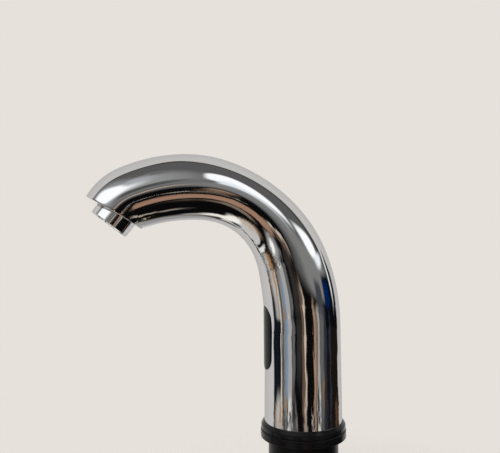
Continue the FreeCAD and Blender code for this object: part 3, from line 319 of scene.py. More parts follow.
class Tree:
    """A node tree with short ways to add and join nodes."""

    def __init__(self, tree):
        self.tree = tree

    def add(self, kind, inputs=None, **values):
        """A new node with some of its inputs and some of its own values set."""
        node = self.tree.nodes.new(kind)
        for name, value in values.items():
            setattr(node, name, value)
        self.set(node, inputs or {})
        return node

    def set(self, node, inputs):
        """Sets inputs by name or number. A value is a constant or another node's socket."""
        for name, value in inputs.items():
            if isinstance(value, bpy.types.NodeSocket):
                self.join(value, node.inputs[name])
            else:
                node.inputs[name].default_value = value

    def join(self, source, socket):
        self.tree.links.new(source, socket)

    def math(self, operation, *values):
        return self.add("ShaderNodeMath", dict(enumerate(values)), operation=operation).outputs[0]

    def vector(self, operation, *values):
        node = self.add("ShaderNodeVectorMath", dict(enumerate(values)), operation=operation)
        return node.outputs["Value" if operation == "LENGTH" else "Vector"]

    def plus(self, first, second):
        return self.math("ADD", first, second)

    def minus(self, first, second):
        return self.math("SUBTRACT", first, second)

    def times(self, first, second):
        return self.math("MULTIPLY", first, second)

    def over(self, first, second):
        return self.math("DIVIDE", first, second)

    def split(self, vector):
        """The X, Y and Z of a vector."""
        parts = self.add("ShaderNodeSeparateXYZ", {0: vector}).outputs
        return parts["X"], parts["Y"], parts["Z"]

    def point(self, x=0.0, y=0.0, z=0.0):
        return self.add("ShaderNodeCombineXYZ", {"X": x, "Y": y, "Z": z}).outputs[0]

    def mix(self, factor, low, high):
        """A mix of two colours. The mix node's names repeat, so its sockets go by number."""
        return self.add("ShaderNodeMix", {0: factor, 6: low, 7: high}, data_type="RGBA").outputs[2]

    def span(self, value, low, high, to_low=0.0, to_high=1.0, smooth=False):
        node = self.add("ShaderNodeMapRange", {
            "Value": value, "From Min": low, "From Max": high, "To Min": to_low, "To Max": to_high,
        }, interpolation_type="SMOOTHSTEP" if smooth else "LINEAR")
        return node.outputs["Result"]

    def noise(self, vector, scale, detail=2.0, roughness=0.5):
        return self.add("ShaderNodeTexNoise", {
            "Vector": vector, "Scale": scale, "Detail": detail, "Roughness": roughness,
        }).outputs["Fac"]


def shader_group(name, inputs, outputs):
    """An empty shader node group; inputs and outputs are (name, kind, default)."""
    group = bpy.data.node_groups.new(name, "ShaderNodeTree")
    for label, kind, default in inputs:
        socket = group.interface.new_socket(label, in_out="INPUT", socket_type="NodeSocket" + kind)
        socket.default_value = default
    for label, kind in outputs:
        group.interface.new_socket(label, in_out="OUTPUT", socket_type="NodeSocket" + kind)
    tree = Tree(group)
    return tree, tree.add("NodeGroupInput").outputs, tree.add("NodeGroupOutput")


def group_smudges():
    """Faint wiping marks and water spots: large soft patches and fine drops. It puts out a mask."""
    tree, given, result = shader_group("Smudges", [
        ("Vector", "Vector", (0, 0, 0)), ("Patch size", "Float", 60.0),
        ("Drop size", "Float", 420.0),
    ], [("Mask", "Float")])
    patch = tree.noise(given["Vector"], given["Patch size"], 3.0)
    drops = tree.noise(given["Vector"], given["Drop size"], 1.0)
    patch = tree.span(patch, 0.42, 0.72, smooth=True)
    drops = tree.span(drops, 0.62, 0.74, smooth=True)
    tree.set(result, {"Mask": tree.math("MAXIMUM", patch, tree.times(drops, 0.6))})
    return tree.tree


def group_ripple():
    """The very slight waviness of polished and plated metal. It puts out a height."""
    tree, given, result = shader_group("Plating ripple", [
        ("Vector", "Vector", (0, 0, 0)), ("Scale", "Float", 120.0),
    ], [("Height", "Float")])
    broad = tree.noise(given["Vector"], given["Scale"], 1.0)
    fine = tree.noise(given["Vector"], tree.times(given["Scale"], 6.0), 1.0)
    tree.set(result, {"Height": tree.math("MULTIPLY_ADD", fine, 0.12, broad)})
    return tree.tree


def group_grain():
    """Moulded grain with a little mottling. It puts out a height and a mask of the mottling."""
    tree, given, result = shader_group("Moulded grain", [
        ("Vector", "Vector", (0, 0, 0)), ("Grain", "Float", 2600.0), ("Mottle", "Float", 140.0),
    ], [("Height", "Float"), ("Mottle", "Float")])
    grain = tree.noise(given["Vector"], given["Grain"], 2.0, 0.6)
    pits = tree.add("ShaderNodeTexVoronoi", {"Vector": given["Vector"], "Scale": given["Grain"]})
    mottle = tree.noise(given["Vector"], given["Mottle"], 4.0, 0.6)
    tree.set(result, {
        "Height": tree.math("MULTIPLY_ADD", pits.outputs["Distance"], 0.5, grain),
        "Mottle": tree.span(mottle, 0.35, 0.7, smooth=True),
    })
    return tree.tree


def group_turned_marks():
    """Fine rings left by a lathe about Z. It puts out a height and a mask of brighter rings."""
    tree, given, result = shader_group("Turned marks", [
        ("Vector", "Vector", (0, 0, 0)), ("Centre", "Vector", (0, 0, 0)),
        ("Scale", "Float", 3000.0),
    ], [("Height", "Float"), ("Mask", "Float")])
    x, y, z = tree.split(tree.vector("SUBTRACT", given["Vector"], given["Centre"]))
    radius = tree.math("SQRT", tree.plus(tree.times(x, x), tree.times(y, y)))
    line = tree.point(radius, z)
    broad = tree.noise(line, tree.times(given["Scale"], 0.12), 2.0)
    tree.set(result, {
        "Height": tree.noise(line, given["Scale"], 2.0),
        "Mask": tree.span(broad, 0.4, 0.65, smooth=True),
    })
    return tree.tree


def group_scratches():
    """Thin hairlines in two directions. It puts out a mask."""
    tree, given, result = shader_group("Hairlines", [
        ("Vector", "Vector", (0, 0, 0)), ("Scale", "Float", 90.0),
    ], [("Mask", "Float")])
    masks = []
    for stretch in ((1.0, 14.0, 1.6), (12.0, 1.0, 2.2)):
        place = tree.vector("MULTIPLY", given["Vector"], stretch)
        value = tree.noise(place, given["Scale"], 3.0, 0.7)
        ridge = tree.math("ABSOLUTE", tree.minus(value, 0.5))
        masks.append(tree.span(ridge, 0.012, 0.0, smooth=True))
    tree.set(result, {"Mask": tree.math("MAXIMUM", *masks)})
    return tree.tree


GROUPS = {}


def group(tree, name, inputs):
    """One of the shared groups, placed in a material."""
    makers = {
        "Smudges": group_smudges, "Plating ripple": group_ripple, "Moulded grain": group_grain,
        "Turned marks": group_turned_marks, "Hairlines": group_scratches, "Card": group_card,
    }
    if name not in GROUPS:
        GROUPS[name] = makers[name]()
    return tree.add("ShaderNodeGroup", inputs, node_tree=GROUPS[name]).outputs


def material(name):
    """A new material: its tree, its Principled shader and the object coordinates."""
    made = bpy.data.materials.new(name)
    made.use_nodes = True
    tree = Tree(made.node_tree)
    shader = made.node_tree.nodes["Principled BSDF"]
    place = tree.add("ShaderNodeTexCoord").outputs["Object"]
    return made, tree, shader, place


def smudges(tree, place, patch, drop):
    return group(tree, "Smudges", {"Vector": place, "Patch size": patch, "Drop size": drop})["Mask"]


def bump(tree, shader, height_socket, distance, strength):
    node = tree.add("ShaderNodeBump", {
        "Height": height_socket, "Distance": distance, "Strength": strength})
    tree.join(node.outputs[0], shader.inputs["Normal"])


def rgba(value, times=1.0):
    return (value[0] * times, value[1] * times, value[2] * times, 1.0)


MADE = {}


def once(function):
    """Keeps a material, so that it is made once."""
    @functools.wraps(function)
    def give():
        if function not in MADE:
            MADE[function] = function()
        return MADE[function]
    return give


def settings(name):
    return getattr(bpy.context.scene, name)


# ---- materials ----------------------------------------------------------------------------

@once
def chrome():
    """Bright plating with a few wiping marks."""
    own = settings("tap_spout")
    made, tree, shader, place = material("Bright chrome")
    smudge = smudges(tree, place, 55.0, 380.0)
    hair = group(tree, "Hairlines", {"Vector": place, "Scale": 70.0})["Mask"]
    worn = tree.math("MULTIPLY_ADD", hair, 0.25, smudge)
    tree.set(shader, {
        "Base Color": tree.mix(tree.times(worn, 0.35), rgba(own.chrome), rgba(own.chrome, 0.94)),
        "Roughness": tree.span(worn, 0.0, 1.2, own.chrome_roughness, own.chrome_roughness + 0.014),
        "Metallic": 1.0, "Specular Tint": (0.74, 0.74, 0.75, 1.0),
    })
    ripple = group(tree, "Plating ripple", {"Vector": place, "Scale": 110.0})["Height"]
    bump(tree, shader, ripple, 0.00001, 0.35)
    return made


@once
def dark_lens():
    """Smoked glossy plastic, nearly black."""
    own = settings("tap_window")
    made, tree, shader, place = material("Smoked lens")
    smudge = smudges(tree, place, 110.0, 700.0)
    tree.set(shader, {
        "Base Color": tree.mix(smudge, rgba(own.lens), rgba(own.lens, 1.5)),
        "Roughness": tree.span(smudge, 0.0, 1.0, 0.05, 0.11),
        "IOR": 1.36, "Specular IOR Level": 0.1,
    })
    return made


def moulded(name, colour_value, roughness, grain, depth, mottle=0.3, lighter=1.5, gloss=0.5):
    """Moulded plastic or rubber with grain, mottling and a slightly uneven gloss.

    The grain is a texture scale and the depth its height in metres. The mottling is how strongly
    the surface turns to a colour so many times lighter, and the gloss is the specular level."""
    made, tree, shader, place = material(name)
    marks = group(tree, "Moulded grain", {"Vector": place, "Grain": grain, "Mottle": 130.0})
    smudge = smudges(tree, place, 80.0, 500.0)
    uneven = tree.times(marks["Mottle"], mottle)
    tree.set(shader, {
        "Base Color": tree.mix(uneven, rgba(colour_value), rgba(colour_value, lighter)),
        "Roughness": tree.span(smudge, 0.0, 1.0, roughness, roughness + 0.10),
        "Specular IOR Level": gloss,
    })
    bump(tree, shader, marks["Height"], depth, 0.6)
    return made


@once
def black_satin():
    own = settings("tap_base")
    return moulded("Black satin ring", own.satin, 0.14, 3200.0, 0.000002, gloss=0.11)


@once
def black_rubber():
    own = settings("tap_base")
    return moulded("Black rubber", own.rubber, 0.16, 2600.0, 0.000002, 0.5, 1.8, 0.13)


@once
def shank_black():
    own = settings("tap_shank")
    return moulded("Black shank", own.satin, 0.30, 2200.0, 0.000004, gloss=0.09)


@once
def washer_rubber():
    return moulded("Washer rubber", (0.020, 0.020, 0.021), 0.62, 1800.0, 0.00003, 0.6, 1.9)


@once
def seal_rubber():
    return moulded("Seal rubber", (0.013, 0.013, 0.014), 0.38, 3600.0, 0.000004, 0.3, 1.6)


@once
def black_plastic():
    return moulded("Black nylon", (0.018, 0.018, 0.020), 0.42, 1500.0, 0.00002, 0.4, 1.7)


@once
def valve_plastic():
    return moulded("Valve plastic", (0.22, 0.22, 0.23), 0.48, 1700.0, 0.00002)


@once
def coil_plastic():
    return moulded("Coil casing", (0.012, 0.014, 0.020), 0.40, 1400.0, 0.00002)


@once
def aerator_plastic():
    own = settings("tap_aerator")
    return moulded("White acetal", own.plastic, 0.38, 2400.0, 0.000005, 0.25, 0.86)


@once
def clear_tube():
    """Milky water tube."""
    made, tree, shader, place = material("Milky tube")
    marks = group(tree, "Moulded grain", {"Vector": place, "Grain": 900.0, "Mottle": 90.0})
    tree.set(shader, {
        "Base Color": tree.mix(marks["Mottle"], (0.70, 0.73, 0.74, 1.0), (0.80, 0.82, 0.82, 1.0)),
        "Roughness": 0.28, "Transmission Weight": 0.25,
    })
    bump(tree, shader, marks["Height"], 0.000005, 0.4)
    return made


@once
def clear_lens():
    """Blue-tinted epoxy of the two sensor eyes."""
    made, tree, shader, place = material("Tinted epoxy")
    smudge = smudges(tree, place, 300.0, 1500.0)
    tree.set(shader, {
        "Base Color": tree.mix(smudge, (0.30, 0.34, 0.62, 1.0), (0.42, 0.46, 0.70, 1.0)),
        "Roughness": 0.08, "Transmission Weight": 0.55,
    })
    return made


def turned_metal(name, colour_value, centre, roughness, tarnish):
    """Machined metal with the marks of the lathe and a little tarnish."""
    made, tree, shader, place = material(name)
    marks = group(tree, "Turned marks", {"Vector": place, "Centre": centre, "Scale": 2400.0})
    smudge = smudges(tree, place, 70.0, 420.0)
    tone = tree.mix(tree.times(smudge, 0.7), rgba(colour_value), rgba(tarnish))
    tree.set(shader, {
        "Base Color": tree.mix(tree.times(marks["Mask"], 0.25), tone, rgba(colour_value, 0.82)),
        "Roughness": tree.span(smudge, 0.0, 1.0, roughness, roughness + 0.16), "Metallic": 1.0,
    })
    bump(tree, shader, marks["Height"], 0.000012, 0.5)
    return made


@once
def brass():
    own = settings("tap_fixings")
    centre = (settings("tap_inlet").centre, 0, 0)
    return turned_metal("Turned brass", own.brass, centre, 0.24, (0.52, 0.36, 0.17))


@once
def steel():
    own = settings("tap_fixings")
    return turned_metal("Turned steel", own.steel, (0, 0, 0), 0.27, (0.36, 0.35, 0.34))


@once
def circuit_board():
    """Green board with copper tracks under the lacquer and small pale parts."""
    made, tree, shader, place = material("Circuit board")
    _, across, up = tree.split(place)
    flat = tree.point(across, up)
    bricks = tree.add("ShaderNodeTexBrick", {
        "Vector": flat, "Color1": (0.01, 0.10, 0.045, 1), "Color2": (0.015, 0.15, 0.06, 1),
        "Mortar": (0.10, 0.24, 0.07, 1), "Scale": 300.0, "Mortar Size": 0.05,
    })
    cells = tree.add("ShaderNodeTexVoronoi", {"Vector": flat, "Scale": 420.0}, distance="CHEBYCHEV")
    chips = tree.span(cells.outputs["Distance"], 0.16, 0.13)
    tree.set(shader, {
        "Base Color": tree.mix(chips, bricks.outputs["Color"], (0.62, 0.60, 0.55, 1)),
        "Roughness": tree.span(chips, 0.0, 1.0, 0.25, 0.45),
    })
    bump(tree, shader, bricks.outputs["Fac"], 0.00003, 0.5)
    return made


# ---- mesh helpers -------------------------------------------------------------------------

def new_object(name, mesh):
    made = bpy.data.objects.new(name, mesh)
    bpy.context.scene.collection.objects.link(made)
    return made


def new_mesh(name, vertices, faces):
    mesh = bpy.data.meshes.new(name)
    mesh.from_pydata([tuple(v) for v in vertices], [], faces)
    mesh.update()
    return mesh


def smooth(mesh):
    """Smooth faces, with sharp edges where two faces meet at more than the limit."""
    mesh.polygons.foreach_set("use_smooth", [True] * len(mesh.polygons))
    mesh.set_sharp_from_angle(angle=SHARP)


def clean(mesh):
    """Joins doubles and turns the faces outwards."""
    work = bmesh.new()
    work.from_mesh(mesh)
    bmesh.ops.remove_doubles(work, verts=work.verts, dist=2e-7)
    bmesh.ops.dissolve_degenerate(work, dist=1e-7, edges=work.edges)
    bmesh.ops.recalc_face_normals(work, faces=work.faces)
    work.to_mesh(mesh)
    work.free()
    mesh.update()


def rounded(outline, radius, closed=True, steps=4):
    """The outline with its corners rounded. A corner is (r, z) or (r, z, its own radius)."""
    nearly_straight, most = math.radians(8), 0.42
    result = []
    number = len(outline)
    for i, corner in enumerate(outline):
        here = Vector(corner[:2])
        own = corner[2] if len(corner) > 2 else radius
        back = Vector(outline[i - 1][:2]) - here
        ahead = Vector(outline[(i + 1) % number][:2]) - here
        loose_end = not closed and i in (0, number - 1)
        if own <= 0 or loose_end or math.pi - back.angle(ahead) < nearly_straight:
            result.append(here)
            continue
        half = back.angle(ahead) / 2
        cut = min(own / math.tan(half), most * back.length, most * ahead.length)
        back, ahead = back.normalized(), ahead.normalized()
        start, end = here + back * cut, here + ahead * cut
        middle = here + (back + ahead).normalized() * math.hypot(cut, cut * math.tan(half))
        first, last = start - middle, end - middle
        sweep = first.angle(last)
        result.append(start + back * cut * GUARD)
        for k in range(steps + 1):
            spoke = first * math.sin((1 - k / steps) * sweep) + last * math.sin(k / steps * sweep)
            result.append(middle + spoke / math.sin(sweep))
        result.append(end + ahead * cut * GUARD)
    return result


def lathe_mesh(name, outline, around, closed=True):
    """A solid of revolution about Z. A radius of 0 makes a pole."""
    vertices, rings, faces = [], [], []
    for radius, level in outline:
        sides = around if radius > 1e-9 else 1
        rings.append([len(vertices) + k for k in range(sides)])
        for k in range(sides):
            turn = math.tau * k / around
            vertices.append((radius * math.cos(turn), radius * math.sin(turn), level))
    for low, high in zip(rings, rings[1:] + rings[:1] if closed else rings[1:]):
        if len(low) == len(high) == 1:
            continue
        for k in range(around):
            nxt = (k + 1) % around
            if len(low) == 1:
                faces.append((low[0], high[nxt], high[k]))
            elif len(high) == 1:
                faces.append((low[k], low[nxt], high[0]))
            else:
                faces.append((low[k], low[nxt], high[nxt], high[k]))
    return new_mesh(name, vertices, faces)


def lathe(name, outline, radius, around, steps=4):
    """A finished turned piece from a closed outline, its corners rounded."""
    mesh = lathe_mesh(name, rounded(outline, radius, True, steps), around)
    clean(mesh)
    smooth(mesh)
    return new_object(name, mesh)


def finish_piece(piece, look, body, slot_name, *nodes):
    """Gives a piece its material and its body, and hides the nodes that it stands for. The slot's
    name is not used.
    """
    piece.data.materials.clear()
    piece.data.materials.append(look)
    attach(piece, body)
    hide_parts(*nodes)


def copied(name, node):
    """A copy of a node's mesh, joined up and smooth."""
    mesh = frame["nodes"][node].data.copy()
    mesh.name = name
    work = bmesh.new()
    work.from_mesh(mesh)
    bmesh.ops.remove_doubles(work, verts=work.verts, dist=1e-6)
    work.to_mesh(mesh)
    work.free()
    if mesh.has_custom_normals:
        bpy.context.view_layer.update()
        mesh.normals_split_custom_set([(0, 0, 0)] * len(mesh.loops))
    smooth(mesh)
    return new_object(name, mesh)


# ---- geometry node helpers ----------------------------------------------------------------

def geometry_tree(name, inputs):
    """An empty Geometry Nodes tree with a geometry input and named inputs (name, kind, default)."""
    made = bpy.data.node_groups.new(name, "GeometryNodeTree")
    made.interface.new_socket("Geometry", in_out="INPUT", socket_type="NodeSocketGeometry")
    for label, kind, default in inputs:
        socket = made.interface.new_socket(label, in_out="INPUT", socket_type="NodeSocket" + kind)
        if default is not None:
            socket.default_value = default
    made.interface.new_socket("Geometry", in_out="OUTPUT", socket_type="NodeSocketGeometry")
    tree = Tree(made)
    return tree, tree.add("NodeGroupInput").outputs, tree.add("NodeGroupOutput")


def above(tree, value, limit):
    """Says where a value is greater than its limit."""
    return tree.add("FunctionNodeCompare", {
        0: value, 1: limit}, data_type="FLOAT", operation="GREATER_THAN").outputs[0]


def shaded(tree, geometry, look):
    """Ends a tree: real geometry, smooth by angle, with its material."""
    real = tree.add("GeometryNodeRealizeInstances", {0: geometry}).outputs[0]
    even = tree.add("GeometryNodeSetShadeSmooth", {
        "Geometry": real, "Shade Smooth": True}, domain="FACE").outputs[0]
    bend = tree.add("GeometryNodeInputMeshEdgeAngle").outputs["Unsigned Angle"]
    edged = tree.add("GeometryNodeSetShadeSmooth", {
        "Geometry": even, "Selection": above(tree, bend, SHARP), "Shade Smooth": False,
    }, domain="EDGE").outputs[0]
    return tree.add("GeometryNodeSetMaterial", {"Geometry": edged, "Material": look}).outputs[0]


def less(tree, body, *tools):
    """A body with its tools cut away."""
    node = tree.add("GeometryNodeMeshBoolean", {
        "Mesh 1": body}, operation="DIFFERENCE", solver="MANIFOLD")
    for tool in tools:
        tree.join(tool, node.inputs["Mesh 2"])
    return node.outputs[0]


def grown(name, tree, source, values):
    """Runs a tree on an object and gives the result as a plain object. The source is removed."""
    modifier = source.modifiers.new("Grow", "NODES")
    modifier.node_group = tree
    for item in tree.interface.items_tree:
        if item.item_type == "SOCKET" and item.in_out == "INPUT" and item.name in values:
            modifier[item.identifier] = values[item.name]
    bpy.context.view_layer.update()
    graph = bpy.context.evaluated_depsgraph_get()
    mesh = bpy.data.meshes.new_from_object(source.evaluated_get(graph), depsgraph=graph)
    if not mesh.polygons:
        raise RuntimeError(name + " came out empty")
    mesh.name = name
    source.modifiers.remove(modifier)
    bpy.data.objects.remove(source)
    return new_object(name, mesh)


def casting_tree():
    """A hollow casting along a path, whose points carry a radius and say where it is hollow."""
    tree, given, result = geometry_tree("Swept casting", [
        ("Wall", "Float", 0.002), ("Sides", "Int", 64), ("Bosses", "Object", None),
        ("Cutters", "Object", None), ("Material", "Material", None),
    ])

    def swept(flag, inset, sides):
        kept = tree.add(
            "GeometryNodeInputNamedAttribute", {"Name": flag}, data_type="BOOLEAN").outputs[0]
        spare = tree.add("FunctionNodeBooleanMath", {0: kept}, operation="NOT").outputs[0]
        line = tree.add("GeometryNodeDeleteGeometry", {
            "Geometry": given["Geometry"], "Selection": spare}, domain="POINT").outputs[0]
        path = tree.add("GeometryNodeMeshToCurve", {0: line}).outputs[0]
        reach = tree.add(
            "GeometryNodeInputNamedAttribute", {"Name": "reach"}, data_type="FLOAT").outputs[0]
        ring = tree.add("GeometryNodeCurvePrimitiveCircle", {
            "Resolution": sides, "Radius": 1.0}).outputs[0]
        return tree.add("GeometryNodeCurveToMesh", {
            "Curve": path, "Profile Curve": ring, "Scale": tree.minus(reach, inset),
            "Fill Caps": True}).outputs[0]

    bosses = tree.add("GeometryNodeObjectInfo", {0: given["Bosses"]}).outputs["Geometry"]
    cutters = tree.add("GeometryNodeObjectInfo", {0: given["Cutters"]}).outputs["Geometry"]
    outer = swept("shell", 0.0, given["Sides"])
    hollow = swept("hollow", given["Wall"], tree.times(given["Sides"], 0.5))
    body = less(tree, outer, less(tree, hollow, bosses), cutters)
    tree.join(shaded(tree, body, given["Material"]), result.inputs[0])
    return tree.tree


def thread_tree():
    """A screw thread about Z between two heights, joined to the plain body that it is given.

    A flat grid is wound up: X is the way round and Y the way up, one pitch a lap. The rows that lie
    past an end are held at it, so that the thread ends level and fades out there."""
    tree, given, result = geometry_tree("Screw thread", [
        ("Radius", "Float", 0.01), ("Depth", "Float", 0.001), ("Pitch", "Float", 0.002),
        ("Low", "Float", 0.0), ("High", "Float", 0.01), ("Around", "Int", 96), ("Steps", "Int", 8),
        ("Material", "Material", None),
    ])
    low, high, pitch, steps = given["Low"], given["High"], given["Pitch"], given["Steps"]
    run = tree.plus(tree.minus(high, low), pitch)
    rows = tree.math("CEIL", tree.times(tree.over(run, pitch), steps))
    grid = tree.add("GeometryNodeMeshGrid", {
        "Size X": 1.0, "Size Y": rows, "Vertices X": tree.plus(given["Around"], 1.0),
        "Vertices Y": tree.plus(rows, 1.0)}).outputs["Mesh"]
    x, y, _ = tree.split(tree.add("GeometryNodeInputPosition").outputs[0])
    lap = tree.plus(x, 0.5)
    row = tree.math("ROUND", tree.plus(y, tree.times(rows, 0.5)))
    start = tree.minus(tree.over(row, steps), 1.0)
    free = tree.math("MULTIPLY_ADD", tree.plus(start, lap), pitch, low)
    level = tree.math("MINIMUM", tree.math("MAXIMUM", free, low), high)
    phase = tree.minus(tree.over(tree.minus(level, low), pitch), lap)
    whole_laps, crest, trough = 8.00001, 0.88, 0.12
    saw = tree.math("FRACT", tree.plus(phase, whole_laps))
    ridge = tree.math("ABSOLUTE", tree.math("MULTIPLY_ADD", saw, 2.0, -1.0))
    ridge = tree.span(ridge, trough, crest)
    fade_low = tree.span(level, low, tree.plus(low, pitch), smooth=True)
    fade_high = tree.span(level, high, tree.minus(high, pitch), smooth=True)
    sunk = tree.minus(1.0, tree.times(ridge, tree.times(fade_low, fade_high)))
    radius = tree.minus(given["Radius"], tree.times(given["Depth"], sunk))
    turn = tree.times(lap, math.tau)
    x = tree.times(radius, tree.math("COSINE", turn))
    y = tree.times(radius, tree.math("SINE", turn))
    wound = tree.add("GeometryNodeSetPosition", {
        "Geometry": grid, "Position": tree.point(x, y, level)}).outputs[0]
    both = tree.add("GeometryNodeJoinGeometry")
    tree.join(wound, both.inputs[0])
    tree.join(given["Geometry"], both.inputs[0])
    welded = tree.add("GeometryNodeMergeByDistance", {
        "Geometry": both.outputs[0], "Distance": 2e-6}).outputs[0]
    tree.join(shaded(tree, welded, given["Material"]), result.inputs[0])
    return tree.tree


def threaded(name, outline, around, look, values):
    """A turned piece with a thread. The open outline ends at the thread's two ends."""
    plain = lathe_mesh(name + "_body", rounded(outline, BREAK, False), around, False)
    if "Screw thread" not in GROUPS:
        GROUPS["Screw thread"] = thread_tree()
    piece = grown(name, GROUPS["Screw thread"], new_object(name + "_body", plain), {
        "Around": around, "Material": look, **values})
    clean(piece.data)
    smooth(piece.data)
    return piece


def screen_tree():
    """A disc with a honeycomb of holes."""
    tree, given, result = geometry_tree("Honeycomb screen", [
        ("Radius", "Float", 0.009), ("Thickness", "Float", 0.002), ("Pitch", "Float", 0.0026),
        ("Wall", "Float", 0.0005), ("Low", "Float", 0.0), ("Material", "Material", None),
    ])
    cells = 12
    disc = tree.add("GeometryNodeMeshCylinder", {
        "Vertices": 96, "Radius": given["Radius"], "Depth": given["Thickness"]}).outputs["Mesh"]
    lattice = tree.add("GeometryNodeMeshGrid", {
        "Size X": float(cells), "Size Y": float(cells),
        "Vertices X": cells + 1, "Vertices Y": cells + 1}).outputs["Mesh"]
    place = tree.add("GeometryNodeInputPosition").outputs[0]
    x, y, _ = tree.split(place)
    column = tree.times(tree.math("MULTIPLY_ADD", y, 0.5, x), given["Pitch"])
    row = tree.times(tree.times(y, math.sqrt(3) / 2), given["Pitch"])
    spread = tree.add("GeometryNodeSetPosition", {
        "Geometry": lattice, "Position": tree.point(column, row)}).outputs[0]
    limit = tree.minus(given["Radius"], tree.times(given["Pitch"], 0.55))
    far = above(tree, tree.vector("LENGTH", place), limit)
    near = tree.add("GeometryNodeDeleteGeometry", {
        "Geometry": spread, "Selection": far}, domain="POINT").outputs[0]
    corner = tree.times(tree.minus(given["Pitch"], given["Wall"]), 1 / math.sqrt(3))
    deep = tree.times(given["Thickness"], 3.0)
    cell = tree.add("GeometryNodeMeshCylinder", {
        "Vertices": 6, "Radius": corner, "Depth": deep}).outputs["Mesh"]
    turned = tree.add("GeometryNodeTransform", {
        "Geometry": cell, "Rotation": (0.0, 0.0, math.radians(30))}).outputs[0]
    holes = tree.add("GeometryNodeInstanceOnPoints", {
        "Points": near, "Instance": turned}).outputs[0]
    holes = tree.add("GeometryNodeRealizeInstances", {0: holes}).outputs[0]
    lift = tree.point(z=tree.math("MULTIPLY_ADD", given["Thickness"], 0.5, given["Low"]))
    lifted = tree.add("GeometryNodeTransform", {
        "Geometry": less(tree, disc, holes), "Translation": lift}).outputs[0]
    tree.join(shaded(tree, lifted, given["Material"]), result.inputs[0])
    return tree.tree


# ---- the spout's centre line --------------------------------------------------------------

def away(turn):
    """The direction square to the tube, towards the outside of the bends."""
    return Vector((math.cos(turn), 0, math.sin(turn)))


def bends():
    own = settings("tap_spout")
    return (
        (own.lead_radius, own.lead_turn), (own.main_radius, own.main_turn),
        (own.arm_radius, own.arm_turn), (own.nose_bend, own.nose_turn),
    )


def bends_length():
    return sum(radius * turn for radius, turn in bends())


def ease(start, end, share_done):
    return start + (end - start) * (1 - math.cos(math.pi * share_done)) / 2


def tube_radius(run):
    """The outside radius at a length along the bends."""
    own = settings("tap_spout")
    start, slim, full = own.taper_start, own.taper_end, own.head_place
    if run <= start:
        return own.column_radius
    if run <= slim:
        return ease(own.column_radius, own.waist_radius, (run - start) / (slim - start))
    if run <= full:
        return ease(own.waist_radius, own.head_radius, (run - slim) / (full - slim))
    part = 1 - math.cos(math.pi / 2 * (run - full) / (bends_length() - full))
    return own.head_radius + (own.nose_radius - own.head_radius) * part


def centre_at(run):
    """The centre line's point and turn at a length along the bends."""
    own = settings("tap_spout")
    point, turn = Vector((0, 0, own.column_height)), 0.0
    for radius, sweep in bends():
        part = min(max(run / radius, 0.0), sweep)
        middle = point - away(turn) * radius
        point = middle + away(turn + part) * radius
        turn += part
        run -= sweep * radius
        if run <= 1e-9:
            break
    return point, turn


def outlet_matrix():
    """The move that carries Z = 0 to the outlet face and +Z into the spout."""
    own = settings("tap_spout")
    middle, turn = centre_at(bends_length())
    place = middle - away(turn) * own.outlet_setback
    return Matrix.Translation(place) @ Matrix.Rotation(own.outlet_tilt, 4, "Y")


def centre_path():
    """The path of the casting: (point, radius, part of the shell, part of the hollow)."""
    own = settings("tap_spout")
    face_steps = 5
    path = [(Vector((0, 0, own.foot - own.foot_open)), own.foot_radius, False, True)]
    rise = own.column_height - own.foot
    steps = math.ceil(rise / own.station)
    for i in range(steps):
        part = i / steps
        radius = own.foot_radius + (own.column_radius - own.foot_radius) * part
        path.append((Vector((0, 0, own.foot + rise * part)), radius, True, True))
    plain = bends_length() - own.face_round
    floor = bends_length() - own.hollow_end
    steps = math.ceil(plain / own.station)
    for i in range(steps + 1):
        run = plain * i / steps
        path.append((centre_at(run)[0], tube_radius(run), True, run < floor))
    for i in range(1, face_steps + 1):
        sweep = math.pi / 2 * i / face_steps
        run = plain + own.face_round * math.sin(sweep)
        radius = tube_radius(run) - own.face_round * (1 - math.cos(sweep))
        path.append((centre_at(run)[0], radius, True, False))
    return path


def path_object(path):
    """A line of points with the path's radii and flags as attributes."""
    mesh = bpy.data.meshes.new("centre_line")
    edges = [(i, i + 1) for i in range(len(path) - 1)]
    mesh.from_pydata([tuple(row[0]) for row in path], edges, [])
    kinds = (("reach", "FLOAT"), ("shell", "BOOLEAN"), ("hollow", "BOOLEAN"))
    for column, (name, kind) in enumerate(kinds, 1):
        made = mesh.attributes.new(name, kind, "POINT")
        made.data.foreach_set("value", [row[column] for row in path])
    return new_object("centre_line", mesh)


def soften_lip(mesh):
    """Rounds the lowest part of the face's edge and evens the hollow behind it, like polishing."""
    own = settings("tap_spout")
    reach = own.head_radius * 1.3
    evened_from, first_ring = 0.4, 0.1 * MM
    middle, turn = centre_at(bends_length())
    ahead, inner = Vector((-math.sin(turn), 0, math.cos(turn))), -away(turn)
    work = bmesh.new()
    work.from_mesh(mesh)
    zone = []
    for vertex in work.verts:
        place = vertex.co - middle
        depth = -place.dot(ahead)
        flat = place + ahead * depth
        if not (-MM * 0.01 < depth < own.lip_zone and own.lip_inside < flat.length < reach):
            continue
        weight = max(0.0, flat.normalized().dot(inner))
        radius = own.lip_round * weight ** 3
        if depth < radius:
            left = radius - max(depth, 0.0)
            vertex.co -= flat.normalized() * (radius - math.sqrt(radius ** 2 - left ** 2))
        beside = []
        for edge in vertex.link_edges:
            other = edge.other_vert(vertex)
            if abs(other.co.y - vertex.co.y) < 0.3 * edge.calc_length():
                beside.append(other)
        if len(beside) == 2 and weight > evened_from and depth > first_ring:
            zone.append((vertex, beside, min(1.0, (weight - evened_from) * 3)))
    for _ in range(own.lip_passes):
        moved = [v.co + (pair[0].co + pair[1].co - 2 * v.co) * weight / 2
                 for v, pair, weight in zone]
        for (vertex, _, _), place in zip(zone, moved):
            vertex.co = place
    bmesh.ops.triangulate(work, faces=[face for face in work.faces if len(face.verts) > 4])
    work.to_mesh(mesh)
    work.free()
    mesh.update()


